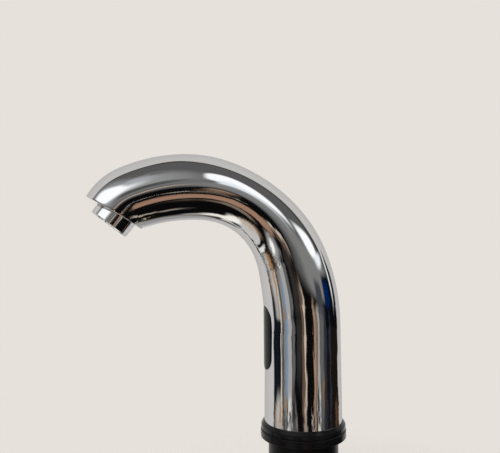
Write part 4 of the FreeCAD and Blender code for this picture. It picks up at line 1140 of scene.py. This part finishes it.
def obround(width, low, high, around):
    """Points (y, z) of an upright slot's outline."""
    radius, half = width / 2, around // 4 * 2
    points = []
    for start, level in ((0.0, high - radius), (math.pi, low + radius)):
        for k in range(half + 1):
            turn = start + math.pi * k / half
            points.append((radius * math.cos(turn), level + radius * math.sin(turn)))
    return points


def bar_parts(outline, x_low, x_high):
    """Vertices and faces of a bar along X with the outline (y, z)."""
    number = len(outline)
    vertices = [(x, y, z) for x in (x_low, x_high) for y, z in outline]
    faces = [tuple(range(number - 1, -1, -1)), tuple(range(number, 2 * number))]
    for k in range(number):
        nxt = (k + 1) % number
        faces.append((k, nxt, nxt + number, k + number))
    return vertices, faces


def round_outline(radius, y, z, around):
    turns = [math.tau * k / around for k in range(around)]
    return [(y + radius * math.cos(turn), z + radius * math.sin(turn)) for turn in turns]


def joined_object(name, parts):
    """One object from several lists of vertices and faces."""
    vertices, faces = [], []
    for some, sides in parts:
        first = len(vertices)
        vertices += [tuple(v) for v in some]
        faces += [tuple(first + i for i in side) for side in sides]
    mesh = new_mesh(name, vertices, faces)
    clean(mesh)
    return new_object(name, mesh)


def mesh_parts(mesh, matrix):
    return [matrix @ v.co for v in mesh.vertices], [tuple(p.vertices) for p in mesh.polygons]


# ---- operators ----------------------------------------------------------------------------

class TAP_OT_spout(bpy.types.Operator):
    """Casts the chromed spout: a tapered hollow tube along four bends, with its openings"""
    bl_idname = "tap.spout"
    bl_label = "Spout"

    def execute(self, context):
        own, lens = settings("tap_spout"), settings("tap_window")
        window_middle = (lens.low + lens.high) / 2
        level = -OVERSHOOT
        outlet = [(0, level)]
        for radius, deep in (
                (own.recess, own.recess_deep), (own.socket, own.socket_deep),
                (own.passage, own.passage_deep)):
            outlet += [(radius, level), (radius, deep)]
            level = deep
        bore = lathe_mesh("bore", outlet + [(0, level)], 128, False)
        opening = obround(lens.width, lens.low, lens.high, 96)
        cuts = [
            bar_parts(opening, -2 * own.foot_radius, lens.flange_back),
            mesh_parts(bore, outlet_matrix()),
        ]
        posts = []
        for y in (own.boss_side, -own.boss_side):
            hole = round_outline(own.screw_radius, y, window_middle, 24)
            post = round_outline(own.boss_radius, y, window_middle, 48)
            cuts.append(bar_parts(hole, own.screw_front, own.screw_back))
            posts.append(bar_parts(post, own.boss_front, own.boss_back))
        cutters = joined_object("cutters", cuts)
        bosses = joined_object("bosses", posts)
        spout = grown("spout_casting", casting_tree(), path_object(centre_path()), {
            "Wall": own.wall, "Sides": own.around, "Bosses": bosses, "Cutters": cutters,
            "Material": chrome(),
        })
        for tool in (cutters, bosses):
            bpy.data.objects.remove(tool)
        soften_lip(spout.data)
        finish_piece(spout, chrome(), "root", "chrome", "spout_body")
        return {"FINISHED"}


class TAP_OT_window(bpy.types.Operator):
    """Makes the smoked lens that follows the column's round face"""
    bl_idname = "tap.window"
    bl_label = "Sensor window"

    def execute(self, context):
        own = settings("tap_window")
        face = settings("tap_spout").column_radius + own.proud
        edge_steps, face_steps, near_middle = 5, 11, 0.985
        vertices, faces, rings = [], [], []

        def ring(inset, sink, flat=None):
            first = len(vertices)
            for y, z in obround(
                    own.width - 2 * inset, own.low + inset, own.high - inset, own.around):
                x = -own.gap - math.sqrt(face ** 2 - y ** 2) + sink if flat is None else flat
                vertices.append((x, y, z))
            rings.append(list(range(first, len(vertices))))

        for k in range(edge_steps + 1):
            turn = math.pi / 2 * k / edge_steps
            ring(own.gap + own.edge * (1 - math.cos(turn)), own.edge * (1 - math.sin(turn)))
        reach = own.width / 2 - own.gap - own.edge
        for k in range(1, face_steps + 1):
            ring(own.gap + own.edge + reach * k / face_steps * near_middle, 0)
        rings.reverse()
        ring(own.gap, 0, own.flange_front)
        ring(-own.rim, 0, own.flange_front)
        ring(-own.rim, 0, own.flange_back)
        for inner, outer in zip(rings, rings[1:]):
            for k in range(len(inner)):
                nxt = (k + 1) % len(inner)
                faces.append((inner[k], inner[nxt], outer[nxt], outer[k]))
        middle = rings[0]
        last = len(middle) - 1
        for k in range(len(middle) // 2 - 1):
            faces.append((middle[k], middle[last - k], middle[last - 1 - k], middle[k + 1]))
        faces.append(tuple(rings[-1]))
        mesh = new_mesh("sensor_lens", vertices, faces)
        clean(mesh)
        smooth(mesh)
        lens = new_object("sensor_lens", mesh)
        finish_piece(lens, dark_lens(), "root", "dark_lens", "sensor_window")
        return {"FINISHED"}


class TAP_OT_aerator(bpy.types.Operator):
    """Makes the aerator's threaded collar and its honeycomb screen"""
    bl_idname = "tap.aerator"
    bl_label = "Aerator"

    def execute(self, context):
        own = settings("tap_aerator")
        root, mouth, end = own.thread - own.thread_depth, own.bore - own.lip, -own.drop
        outline = [
            (root, own.collar_top), (own.radius, own.collar_top, 0.25 * MM),
            (own.radius, end + own.rim_round, 0.3 * MM),
            (own.radius - own.rim_slope, end, 0.2 * MM),
            (mouth + own.mouth_slope, end, 0.2 * MM), (mouth, end + own.mouth_slope, 0.2 * MM),
            (mouth, end + own.lip), (own.bore, end + own.lip, 0),
            (own.bore, own.sleeve_top, 0.15 * MM), (root, own.sleeve_top),
        ]
        collar = threaded("aerator_collar", outline, 144, chrome(), {
            "Radius": own.thread, "Depth": own.thread_depth, "Pitch": own.pitch,
            "Low": own.collar_top, "High": own.sleeve_top, "Steps": 6,
        })
        collar.data.transform(outlet_matrix())
        finish_piece(collar, chrome(), "aerator_collar", "chrome", "aerator_housing")
        blank = new_object("screen_blank", new_mesh("screen_blank", [(0, 0, 0)], []))
        screen = grown("honeycomb_screen", screen_tree(), blank, {
            "Radius": own.screen, "Thickness": own.screen_thick, "Pitch": own.cell,
            "Wall": own.cell_wall, "Low": end + own.lip + PLAY, "Material": aerator_plastic(),
        })
        screen.data.transform(outlet_matrix())
        finish_piece(
            screen, aerator_plastic(), "aerator_cartridge", "aerator_plastic", "aerator_screen")
        return {"FINISHED"}


class TAP_OT_base(bpy.types.Operator):
    """Makes the two black rings under the casting"""
    bl_idname = "tap.base"
    bl_label = "Base rings"

    def execute(self, context):
        own = settings("tap_base")
        inner, outer = (own.seal_radius + own.seal_width / 2 * side for side in (-1, 1))
        ring = lathe("deck_ring", [
            (own.bore, 0), (inner, 0), (inner, own.seal_width), (outer, own.seal_width), (outer, 0),
            (own.flange_radius, 0, own.flange_low_round),
            (own.flange_radius, own.flange_height, own.flange_round), (own.bore, own.flange_height),
        ], BREAK, 192, steps=6)
        finish_piece(ring, black_satin(), "root", "black_satin", "base_flange")
        line, low = own.gasket_radius - own.groove, own.flange_height
        gasket = lathe("column_gasket", [
            (own.bore, low), (line, low, BREAK / 2), (line, low + own.groove, BREAK / 2),
            (own.gasket_radius, low + 1.5 * own.groove, own.bead_round),
            (own.gasket_radius, own.gasket_top - own.shoulder, own.shoulder_round),
            (own.lip + own.lip_wide, own.gasket_top, own.lip_round), (own.lip, own.gasket_top),
            (own.lip, own.seat), (own.bore, own.seat),
        ], BREAK, 192, steps=6)
        finish_piece(gasket, black_rubber(), "root", "black_rubber", "base_gasket")
        return {"FINISHED"}


class TAP_OT_shank(bpy.types.Operator):
    """Makes the threaded black tube that goes through the deck"""
    bl_idname = "tap.shank"
    bl_label = "Shank"

    def execute(self, context):
        own = settings("tap_shank")
        root, groove = own.thread - own.depth, own.bore + own.ring_depth
        outline = [
            (root, -own.smooth), (own.radius, -own.smooth, 0.3 * MM), (own.radius, own.seat),
            (own.spigot, own.seat), (own.spigot, own.spigot_top, 0.5 * MM),
            (own.upper_bore, own.spigot_top, 0.3 * MM), (own.upper_bore, own.bonnet_top),
            (own.bore, own.bonnet_top), (own.bore, own.ring_high), (groove, own.ring_high),
            (groove, own.ring_low), (own.bore, own.ring_low), (own.bore, -own.end, 0.3 * MM),
            (root, -own.end),
        ]
        shank = threaded("threaded_shank", outline, 144, shank_black(), {
            "Radius": own.thread, "Depth": own.depth, "Pitch": own.pitch,
            "Low": -own.end, "High": -own.smooth, "Steps": 8,
        })
        finish_piece(shank, shank_black(), "root", "black_satin", "mounting_shank")
        return {"FINISHED"}


def hexagon_prism(name, flats, low, high, bore, bevel, around=144, centre=(0.0, 0.0)):
    """A nut: a hexagon with chamfered ends and a chamfered bore, built ring by ring.

    Each level caps the hexagon at a radius, so that only its corners are cut back near the ends."""
    flat, half = flats / 2, math.radians(30)
    corner, uncapped, chamfer = flat / math.cos(half) - 0.02 * MM, 1.0, 0.6 * MM
    caps = ((0, flat * 0.985), (0.12, flat), (1, corner), (1.15, uncapped))
    levels = [(low + bevel * part, cap) for part, cap in caps]
    levels += [(high - bevel * part, cap) for part, cap in reversed(caps)]
    turns = [math.tau * k / around for k in range(around)]
    edges = [flat / math.cos((turn + half) % (2 * half) - half) for turn in turns]
    rows = [[(min(edge, cap), level) for edge in edges] for level, cap in levels]
    for radius, level in (
            (bore + chamfer, high), (bore, high - chamfer), (bore, low + chamfer),
            (bore + chamfer, low)):
        rows.append([(radius, level)] * around)
    vertices, faces = [], []
    for row in rows:
        for turn, (radius, level) in zip(turns, row):
            x, y = centre[0] + radius * math.cos(turn), centre[1] + radius * math.sin(turn)
            vertices.append((x, y, level))
    for i in range(len(rows)):
        here, there = i * around, (i + 1) % len(rows) * around
        for k in range(around):
            nxt = (k + 1) % around
            faces.append((here + k, here + nxt, there + nxt, there + k))
    mesh = new_mesh(name, vertices, faces)
    clean(mesh)
    smooth(mesh)
    return new_object(name, mesh)


def washer(name, bore, width, low, high, rounding):
    outer = bore + width
    return lathe(name, [(bore, low), (outer, low), (outer, high), (bore, high)], rounding, 144)


class TAP_OT_fixings(bpy.types.Operator):
    """Makes the two washers and the large nut that clamp the tap to its deck"""
    bl_idname = "tap.fixings"
    bl_label = "Washers and nut"

    def execute(self, context):
        own = settings("tap_fixings")
        top = own.rubber_top
        middle = top - own.rubber_thick
        rubber = washer(
            "rubber_washer_ring", own.bore, own.rubber_width, middle, top, own.rubber_round)
        finish_piece(rubber, washer_rubber(), "clamp_washers", "black_rubber", "rubber_washer")
        low = middle - own.steel_thick
        plate = washer(
            "steel_washer_ring", own.bore, own.steel_width, low, middle, own.steel_round)
        finish_piece(plate, steel(), "clamp_washers", "steel", "steel_washer")
        low = own.nut_top - own.nut_height
        nut = hexagon_prism(
            "back_nut_body", own.flats, low, own.nut_top, own.nut_bore, own.nut_bevel)
        finish_piece(nut, brass(), "nut", "brass", "back_nut")
        return {"FINISHED"}


class TAP_OT_inlet(bpy.types.Operator):
    """Makes the threaded inlet fitting below the shank"""
    bl_idname = "tap.inlet"
    bl_label = "Inlet"

    def execute(self, context):
        own = settings("tap_inlet")
        root = own.thread - own.depth
        outline = [
            (root, own.thread_top), (own.collar, own.thread_top),
            (own.collar, own.plug_low, 0.2 * MM), (own.spigot, own.plug_low),
            (own.spigot, own.tip, 0.3 * MM), (own.bore, own.tip, 0.3 * MM),
            (own.bore, own.end, 0.4 * MM), (root, own.end),
        ]
        fitting = threaded("inlet_fitting", outline, 96, brass(), {
            "Radius": own.thread, "Depth": own.depth, "Pitch": own.pitch,
            "Low": own.end, "High": own.thread_top, "Steps": 8,
        })
        fitting.data.transform(Matrix.Translation((own.centre, 0, 0)))
        finish_piece(fitting, brass(), "root", "brass", "inlet_nipple")
        spanner = hexagon_prism(
            "inlet_hexagon", own.flats, own.hex_low, own.hex_high, own.collar - own.hex_lap,
            own.hex_bevel, 96, (own.centre, 0))
        finish_piece(spanner, brass(), "root", "brass", "inlet_nipple")
        return {"FINISHED"}


LOOKS = {look.__name__: look for look in (
    brass, black_rubber, seal_rubber, black_satin, black_plastic, steel, valve_plastic,
    coil_plastic, clear_tube, aerator_plastic, dark_lens, clear_lens, circuit_board, chrome,
)}


class TAP_OT_inside(bpy.types.Operator):
    """Gives the parts inside and below their finishes"""
    bl_idname = "tap.inside"
    bl_label = "Inner parts"

    def execute(self, context):
        for part in frame["record"]["subparts"]:
            node = frame["nodes"][part["node"]]
            look = LOOKS[part["material_slot"]]()
            if not node.material_slots:
                node.data.materials.append(look)
            for slot in node.material_slots:
                slot.material = look
        spring = copied("return_spring", "plunger_spring")
        finish_piece(spring, steel(), "root", "steel", "plunger_spring")
        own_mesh(spring)
        return {"FINISHED"}


# ---- stage --------------------------------------------------------------------------------

# The surroundings that the chrome shows, as soft cards in the directions round the tap. Each card
# has the azimuth of its middle (0 behind the tap, 90 to its right), its elevation, half its width
# and half its height in degrees, its tilt, how square it is (2 is an ellipse), its softness and its
# colour as the chrome shows it. A later card lies over the earlier ones.
CARDS = [
    # azimuth, elevation, half width, half height, tilt, squareness, softness, colour
    # the large pale areas and what lies between them
    (8, 42, 93, 43.5, 0, 4, 0.05, (50, 48, 46)),
    (8, 42, 85, 38, 0, 4, 0.04, (191, 189, 186)),
    (3.5, -14, 68.5, 40, 0, 7, 0.04, (190, 188, 185)),
    (35, -50, 30, 12, 0, 2.5, 0.5, (150, 148, 145)),
    # bright and dim areas above
    (222, 34, 52, 24, 0, 2.5, 0.5, (150, 150, 150)),
    (231, 34, 37, 13.5, 0, 2.4, 0.26, (253, 253, 254)),
    (201, 47, 11, 6, 20, 2, 0.8, (164, 167, 171)),
    (190, 59, 6, 5, 0, 6, 0.15, (104, 103, 101)),
    (213, 64, 9, 4, 0, 6, 0.2, (88, 87, 85)),
    (186, 19, 14, 5, -12, 2.4, 0.6, (74, 75, 73)),
    (181, 4.2, 12, 1.5, -17, 2.5, 0.5, (176, 156, 138)),
    (150, 33, 10.5, 13, 14, 2.8, 0.22, (253, 253, 254)),
    (156, 19, 3, 9, 20, 2.2, 0.5, (225, 232, 238)),
    (135, 8, 36, 9, 0, 3, 0.3, (122, 121, 120)),
    (122, 20, 15, 6.5, 0, 2.4, 0.28, (253, 253, 254)),
    (110, 13.5, 12, 2.2, -6, 2, 0.6, (235, 238, 240)),
    # dark areas to the right
    (79, 4, 4, 9.5, 0, 4, 0.4, (14, 13, 12)),
    (87, 7, 3, 9, 0, 2.5, 0.6, (222, 224, 226)),
    (106, 0, 15, 8.5, 0, 6, 0.2, (9, 10, 14)),
    (111, 1.5, 9, 5, 0, 3, 0.4, (0, 30, 78)),
    (139, -2, 9, 7, 0, 5, 0.3, (62, 64, 70)),
    (100, -14, 26, 5, 0, 6, 0.15, (24, 18, 14)),
    # upright strips beside the camera, seen in the straight column
    (74, -13, 2.0, 8, 0, 4, 0.3, (45, 30, 18)),
    (110, -12, 3.0, 6, 2, 3, 0.5, (38, 43, 60)),
    (128, -12, 4, 7, 4, 3, 0.5, (44, 46, 54)),
    (139, -12, 6, 6, 3, 3, 0.5, (92, 92, 92)),
    (150, -12, 4.5, 7, 3, 3, 0.4, (158, 154, 148)),
    (157.5, -11, 2.4, 5, 5, 3, 0.5, (120, 104, 90)),
    (163, -12, 2.6, 8, 6, 4, 0.4, (152, 124, 104)),
    (191, -11, 2.8, 6, -6, 2.5, 0.5, (200, 182, 165)),
    (193, -17, 1.2, 3, 0, 2.5, 0.6, (150, 135, 122)),
    (196.5, -12, 4, 6, 0, 3, 0.5, (92, 76, 64)),
    (208, -9, 7, 4, 0, 3, 0.5, (46, 43, 42)),
    (226, -10.5, 4.5, 4, 3, 3, 0.5, (96, 95, 95)),
    (231, -8, 1.4, 4, 0, 3, 0.5, (40, 38, 36)),
    (237.5, -12, 5.5, 7.5, 0, 4, 0.25, (160, 158, 157)),
    (246, -11.4, 4.0, 3.7, 3, 2.2, 0.35, (112, 146, 182)),
    (254.5, -12.5, 6.5, 8, 0, 4, 0.2, (126, 124, 122)),
    (257, -13, 1.6, 6, -3, 3, 0.5, (58, 56, 56)),
    (265, -12, 2.0, 7, 2, 4, 0.4, (196, 188, 176)),
    (281, -12, 9, 7, 0, 3, 0.4, (17, 22, 30)),
    # small spots near the tap's foot
    (275, -16.3, 10, 1.8, 0, 2, 0.5, (176, 172, 168)),
    (270, -16.0, 2.4, 0.9, 0, 2.2, 0.4, (176, 122, 56)),
    (250, -15.0, 2.0, 0.8, 0, 2.2, 0.4, (160, 116, 62)),
    (287, -16.4, 2.6, 1.0, 0, 2, 0.6, (120, 92, 66)),
    (240, -16.3, 3.6, 1.3, -20, 2, 0.4, (226, 221, 214)),
    (238, -16.2, 1.6, 0.8, -20, 2, 0.5, (60, 56, 52)),
    (218, -16.4, 3.2, 1.1, 30, 2, 0.5, (112, 105, 100)),
    (151, -15.7, 4.6, 2.0, 10, 2, 0.3, (222, 219, 212)),
    (152, -15.2, 3.0, 1.8, 10, 2, 0.3, (40, 41, 46)),
    (134, -14.0, 2.0, 1.0, 0, 2, 0.5, (140, 102, 58)),
    (172, -16.8, 2.2, 0.6, 30, 2, 0.5, (214, 208, 202)),
    (84, -16.4, 5, 1.3, 0, 2, 0.6, (86, 60, 42)),
    # cards below, seen in the underside of the arch
    (184, -29, 24, 8.5, 14, 2.3, 0.12, (152, 118, 98)),
    (187, -45, 21, 4.5, 5, 2.4, 0.4, (118, 104, 92)),
    (127, -56, 4.5, 17, -24, 2.3, 0.5, (172, 158, 142)),
    (120, -73, 12, 2.2, 0, 2, 0.6, (130, 122, 114)),
    (231, -26, 19, 8, 0, 2.6, 0.4, (150, 148, 146)),
    (231, -27, 10, 3.5, 8, 2, 0.4, (242, 242, 240)),
    (236, -48, 14, 6, 20, 2, 0.5, (74, 44, 28)),
    (256, -25, 6, 8, 0, 3, 0.4, (48, 38, 28)),
    (269.5, -25, 6.5, 7.5, 0, 3, 0.35, (152, 112, 72)),
    (283, -25, 8, 8, 0, 3, 0.35, (168, 166, 162)),
    (281, -36, 20, 2.2, 4, 3, 0.4, (224, 221, 215)),
    (290, -62, 64, 21, 4, 2.6, 0.06, (190, 188, 184)),
    (242, -60, 18, 12, 0, 2, 0.8, (186, 168, 150)),
    (300, -76, 76, 7.5, 0, 2.5, 0.4, (238, 234, 226)),
    (8, -74, 20, 7, 12, 2.2, 0.5, (232, 226, 216)),
    (316, -65, 14, 4.5, 0, 2, 0.5, (25, 40, 62)),
    (345, -55, 18, 4, 0, 2, 0.6, (90, 72, 60)),
    (307, -42, 3.5, 20, 23, 2.4, 0.4, (10, 10, 12)),
]


def seen(value):
    """A colour seen in the chrome, as the light that gives it there."""
    def linear(part):
        part /= 255
        return part / 12.92 if part <= 0.04045 else ((part + 0.055) / 1.055) ** 2.4
    plating = 0.6
    return tuple(linear(part) / plating for part in value) + (1.0,)


def group_card():
    """Lays one soft card over the colour of what lies behind it."""
    tree, given, result = shader_group("Card", [
        ("Colour", "Color", (0, 0, 0, 1)), ("Azimuth", "Float", 0.0), ("Elevation", "Float", 0.0),
        ("Card azimuth", "Float", 0.0), ("Card elevation", "Float", 0.0),
        ("Half width", "Float", 10.0), ("Half height", "Float", 10.0), ("Tilt", "Float", 0.0),
        ("Squareness", "Float", 2.0), ("Softness", "Float", 0.1),
        ("Card colour", "Color", (1, 1, 1, 1)),
    ], [("Colour", "Color")])
    across = tree.math("WRAP", tree.minus(given["Azimuth"], given["Card azimuth"]), 180.0, -180.0)
    up = tree.minus(given["Elevation"], given["Card elevation"])
    tilt = tree.math("RADIANS", given["Tilt"])
    cosine, sine = tree.math("COSINE", tilt), tree.math("SINE", tilt)
    x = tree.plus(tree.times(across, cosine), tree.times(up, sine))
    y = tree.minus(tree.times(up, cosine), tree.times(across, sine))
    powers = []
    for value, half in ((x, given["Half width"]), (y, given["Half height"])):
        ratio = tree.math("MINIMUM", tree.math("ABSOLUTE", tree.over(value, half)), 4.0)
        powers.append(tree.math("POWER", ratio, given["Squareness"]))
    far = tree.math("POWER", tree.plus(*powers), tree.over(1.0, given["Squareness"]))
    outer, inner = tree.plus(1.0, given["Softness"]), tree.minus(1.0, given["Softness"])
    mask = tree.span(far, outer, inner, smooth=True)
    tree.set(result, {"Colour": tree.mix(mask, given["Colour"], given["Card colour"])})
    return tree.tree


def wavered(tree, way, azimuth, stretch, scale, detail, degrees, where):
    """The azimuth with a wander of up to half so many degrees, as uneven chrome shows it."""
    value = tree.noise(tree.vector("MULTIPLY", way, stretch), scale, detail)
    swing = tree.times(tree.minus(value, 0.5), degrees)
    return tree.plus(azimuth, tree.times(swing, where))


def make_world(own):
    """The even light, the plain backdrop, and the cards that shiny things show."""
    world = bpy.data.worlds.new("Room")
    bpy.context.scene.world = world
    world.use_nodes = True
    tree = Tree(world.node_tree)
    way = tree.add("ShaderNodeTexCoord").outputs["Generated"]
    x, y, z = tree.split(way)
    azimuth = tree.math("DEGREES", tree.math("ARCTAN2", x, y))
    elevation = tree.math("DEGREES", tree.math("ARCSINE", z))
    below = tree.span(elevation, 2.0, -6.0, smooth=True)
    azimuth = wavered(tree, way, azimuth, (2.2, 2.2, 9.0), 2.6, 2.0, 14.0, below)
    foot = tree.span(elevation, -13.0, -18.0, smooth=True)
    azimuth = wavered(tree, way, azimuth, (3.0, 3.0, 26.0), 5.0, 1.0, 22.0, foot)
    upper = tree.span(elevation, -4.0, 2.0, smooth=True)
    room = tree.mix(upper, seen((10, 9, 9)), seen((86, 85, 85)))
    labels = (
        "Card azimuth", "Card elevation", "Half width", "Half height", "Tilt", "Squareness",
        "Softness")
    for *sizes, tone in CARDS:
        room = group(tree, "Card", {
            "Colour": room, "Azimuth": azimuth, "Elevation": elevation, "Card colour": seen(tone),
            **dict(zip(labels, map(float, sizes))),
        })["Colour"]
    ray = tree.add("ShaderNodeLightPath").outputs
    shiny = tree.math("MAXIMUM", ray["Is Glossy Ray"], ray["Is Transmission Ray"])
    light = tree.mix(shiny, rgba((own.light,) * 3), room)
    light = tree.mix(ray["Is Camera Ray"], light, rgba(own.backdrop))
    tree.join(light, world.node_tree.nodes["Background"].inputs["Color"])


class TAP_OT_stage(bpy.types.Operator):
    """Sets the floor, the light, the surroundings and the camera"""
    bl_idname = "tap.stage"
    bl_label = "Stage"

    def execute(self, context):
        own = settings("tap_stage")
        make_world(own)
        self.set_floor(own)
        self.set_key(own)
        self.set_camera(context, own)
        context.scene.view_settings.view_transform = "Standard"
        return {"FINISHED"}

    def set_floor(self, own):
        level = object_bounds()[0].z - own.floor_gap
        disc = lathe_mesh("floor", [(0, level), (own.floor, level)], 96, False)
        floor = new_object("floor", disc)
        made, tree, shader, place = material("Pale floor")
        reach = tree.vector("LENGTH", tree.vector("MULTIPLY", place, (1.0, 1.0, 0.0)))
        fade = tree.span(reach, own.floor_gone, own.floor_solid, smooth=True)
        # the disc's faces point down, so that their backs are what is seen from above
        from_above = tree.add("ShaderNodeNewGeometry").outputs["Backfacing"]
        marks = group(tree, "Moulded grain", {"Vector": place, "Grain": 300.0, "Mottle": 12.0})
        tree.set(shader, {
            "Alpha": tree.times(fade, from_above), "Roughness": 0.8,
            "Base Color": tree.mix(marks["Mottle"], rgba(own.backdrop, 1.02), rgba(own.backdrop)),
        })
        floor.data.materials.append(made)
        floor.visible_glossy = False
        floor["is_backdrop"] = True

    def set_key(self, own):
        lamp = bpy.data.lights.new("key", "AREA")
        lamp.shape = "DISK"
        lamp.size = own.key_size
        lamp.energy = own.key
        key = new_object("key", lamp)
        key.location = own.key_place
        aim = Vector(own.key_aim) - key.location
        key.rotation_euler = aim.to_track_quat("-Z", "Y").to_euler()
        key.visible_glossy = False

    def set_camera(self, context, own):
        lens = bpy.data.cameras.new("camera")
        lens.sensor_width = 36
        lens.lens = own.focal
        lens.clip_start = 0.01
        camera = new_object("camera", lens)
        level = math.cos(own.pitch)
        ahead = Vector((math.sin(own.yaw) * level, math.cos(own.yaw) * level, -math.sin(own.pitch)))
        right = Vector((math.cos(own.yaw), -math.sin(own.yaw), 0))
        up = right.cross(ahead)
        cosine, sine = math.cos(own.roll), math.sin(own.roll)
        right, up = right * cosine + up * sine, up * cosine - right * sine
        turn = Matrix((right, up, -ahead)).transposed()
        camera.matrix_world = Matrix.Translation(Vector(own.camera)) @ turn.to_4x4()
        context.scene.camera = camera


OPERATORS = (
    TAP_OT_spout, TAP_OT_window, TAP_OT_aerator, TAP_OT_base, TAP_OT_shank,
    TAP_OT_fixings, TAP_OT_inlet, TAP_OT_inside, TAP_OT_stage,
)


class TAP_PT_panel(bpy.types.Panel):
    """Lists the steps that build the tap"""
    bl_idname = "TAP_PT_panel"
    bl_label = "Sensor tap"
    bl_space_type = "VIEW_3D"
    bl_region_type = "UI"
    bl_category = "Tap"

    def draw(self, context):
        for operator in OPERATORS:
            self.layout.operator(operator.bl_idname)


def register():
    for name, kind in SETTINGS.items():
        bpy.utils.register_class(kind)
        setattr(bpy.types.Scene, name, bpy.props.PointerProperty(type=kind))
    for kind in OPERATORS + (TAP_PT_panel,):
        bpy.utils.register_class(kind)


def unregister():
    for kind in reversed(OPERATORS + (TAP_PT_panel,)):
        bpy.utils.unregister_class(kind)
    for name, kind in SETTINGS.items():
        delattr(bpy.types.Scene, name)
        bpy.utils.unregister_class(kind)


def main():
    register()
    bpy.ops.tap.inside()
    bpy.ops.tap.spout()
    bpy.ops.tap.window()
    bpy.ops.tap.aerator()
    bpy.ops.tap.base()
    bpy.ops.tap.shank()
    bpy.ops.tap.fixings()
    bpy.ops.tap.inlet()
    bpy.ops.tap.stage()


if __name__ == "__main__":
    main()
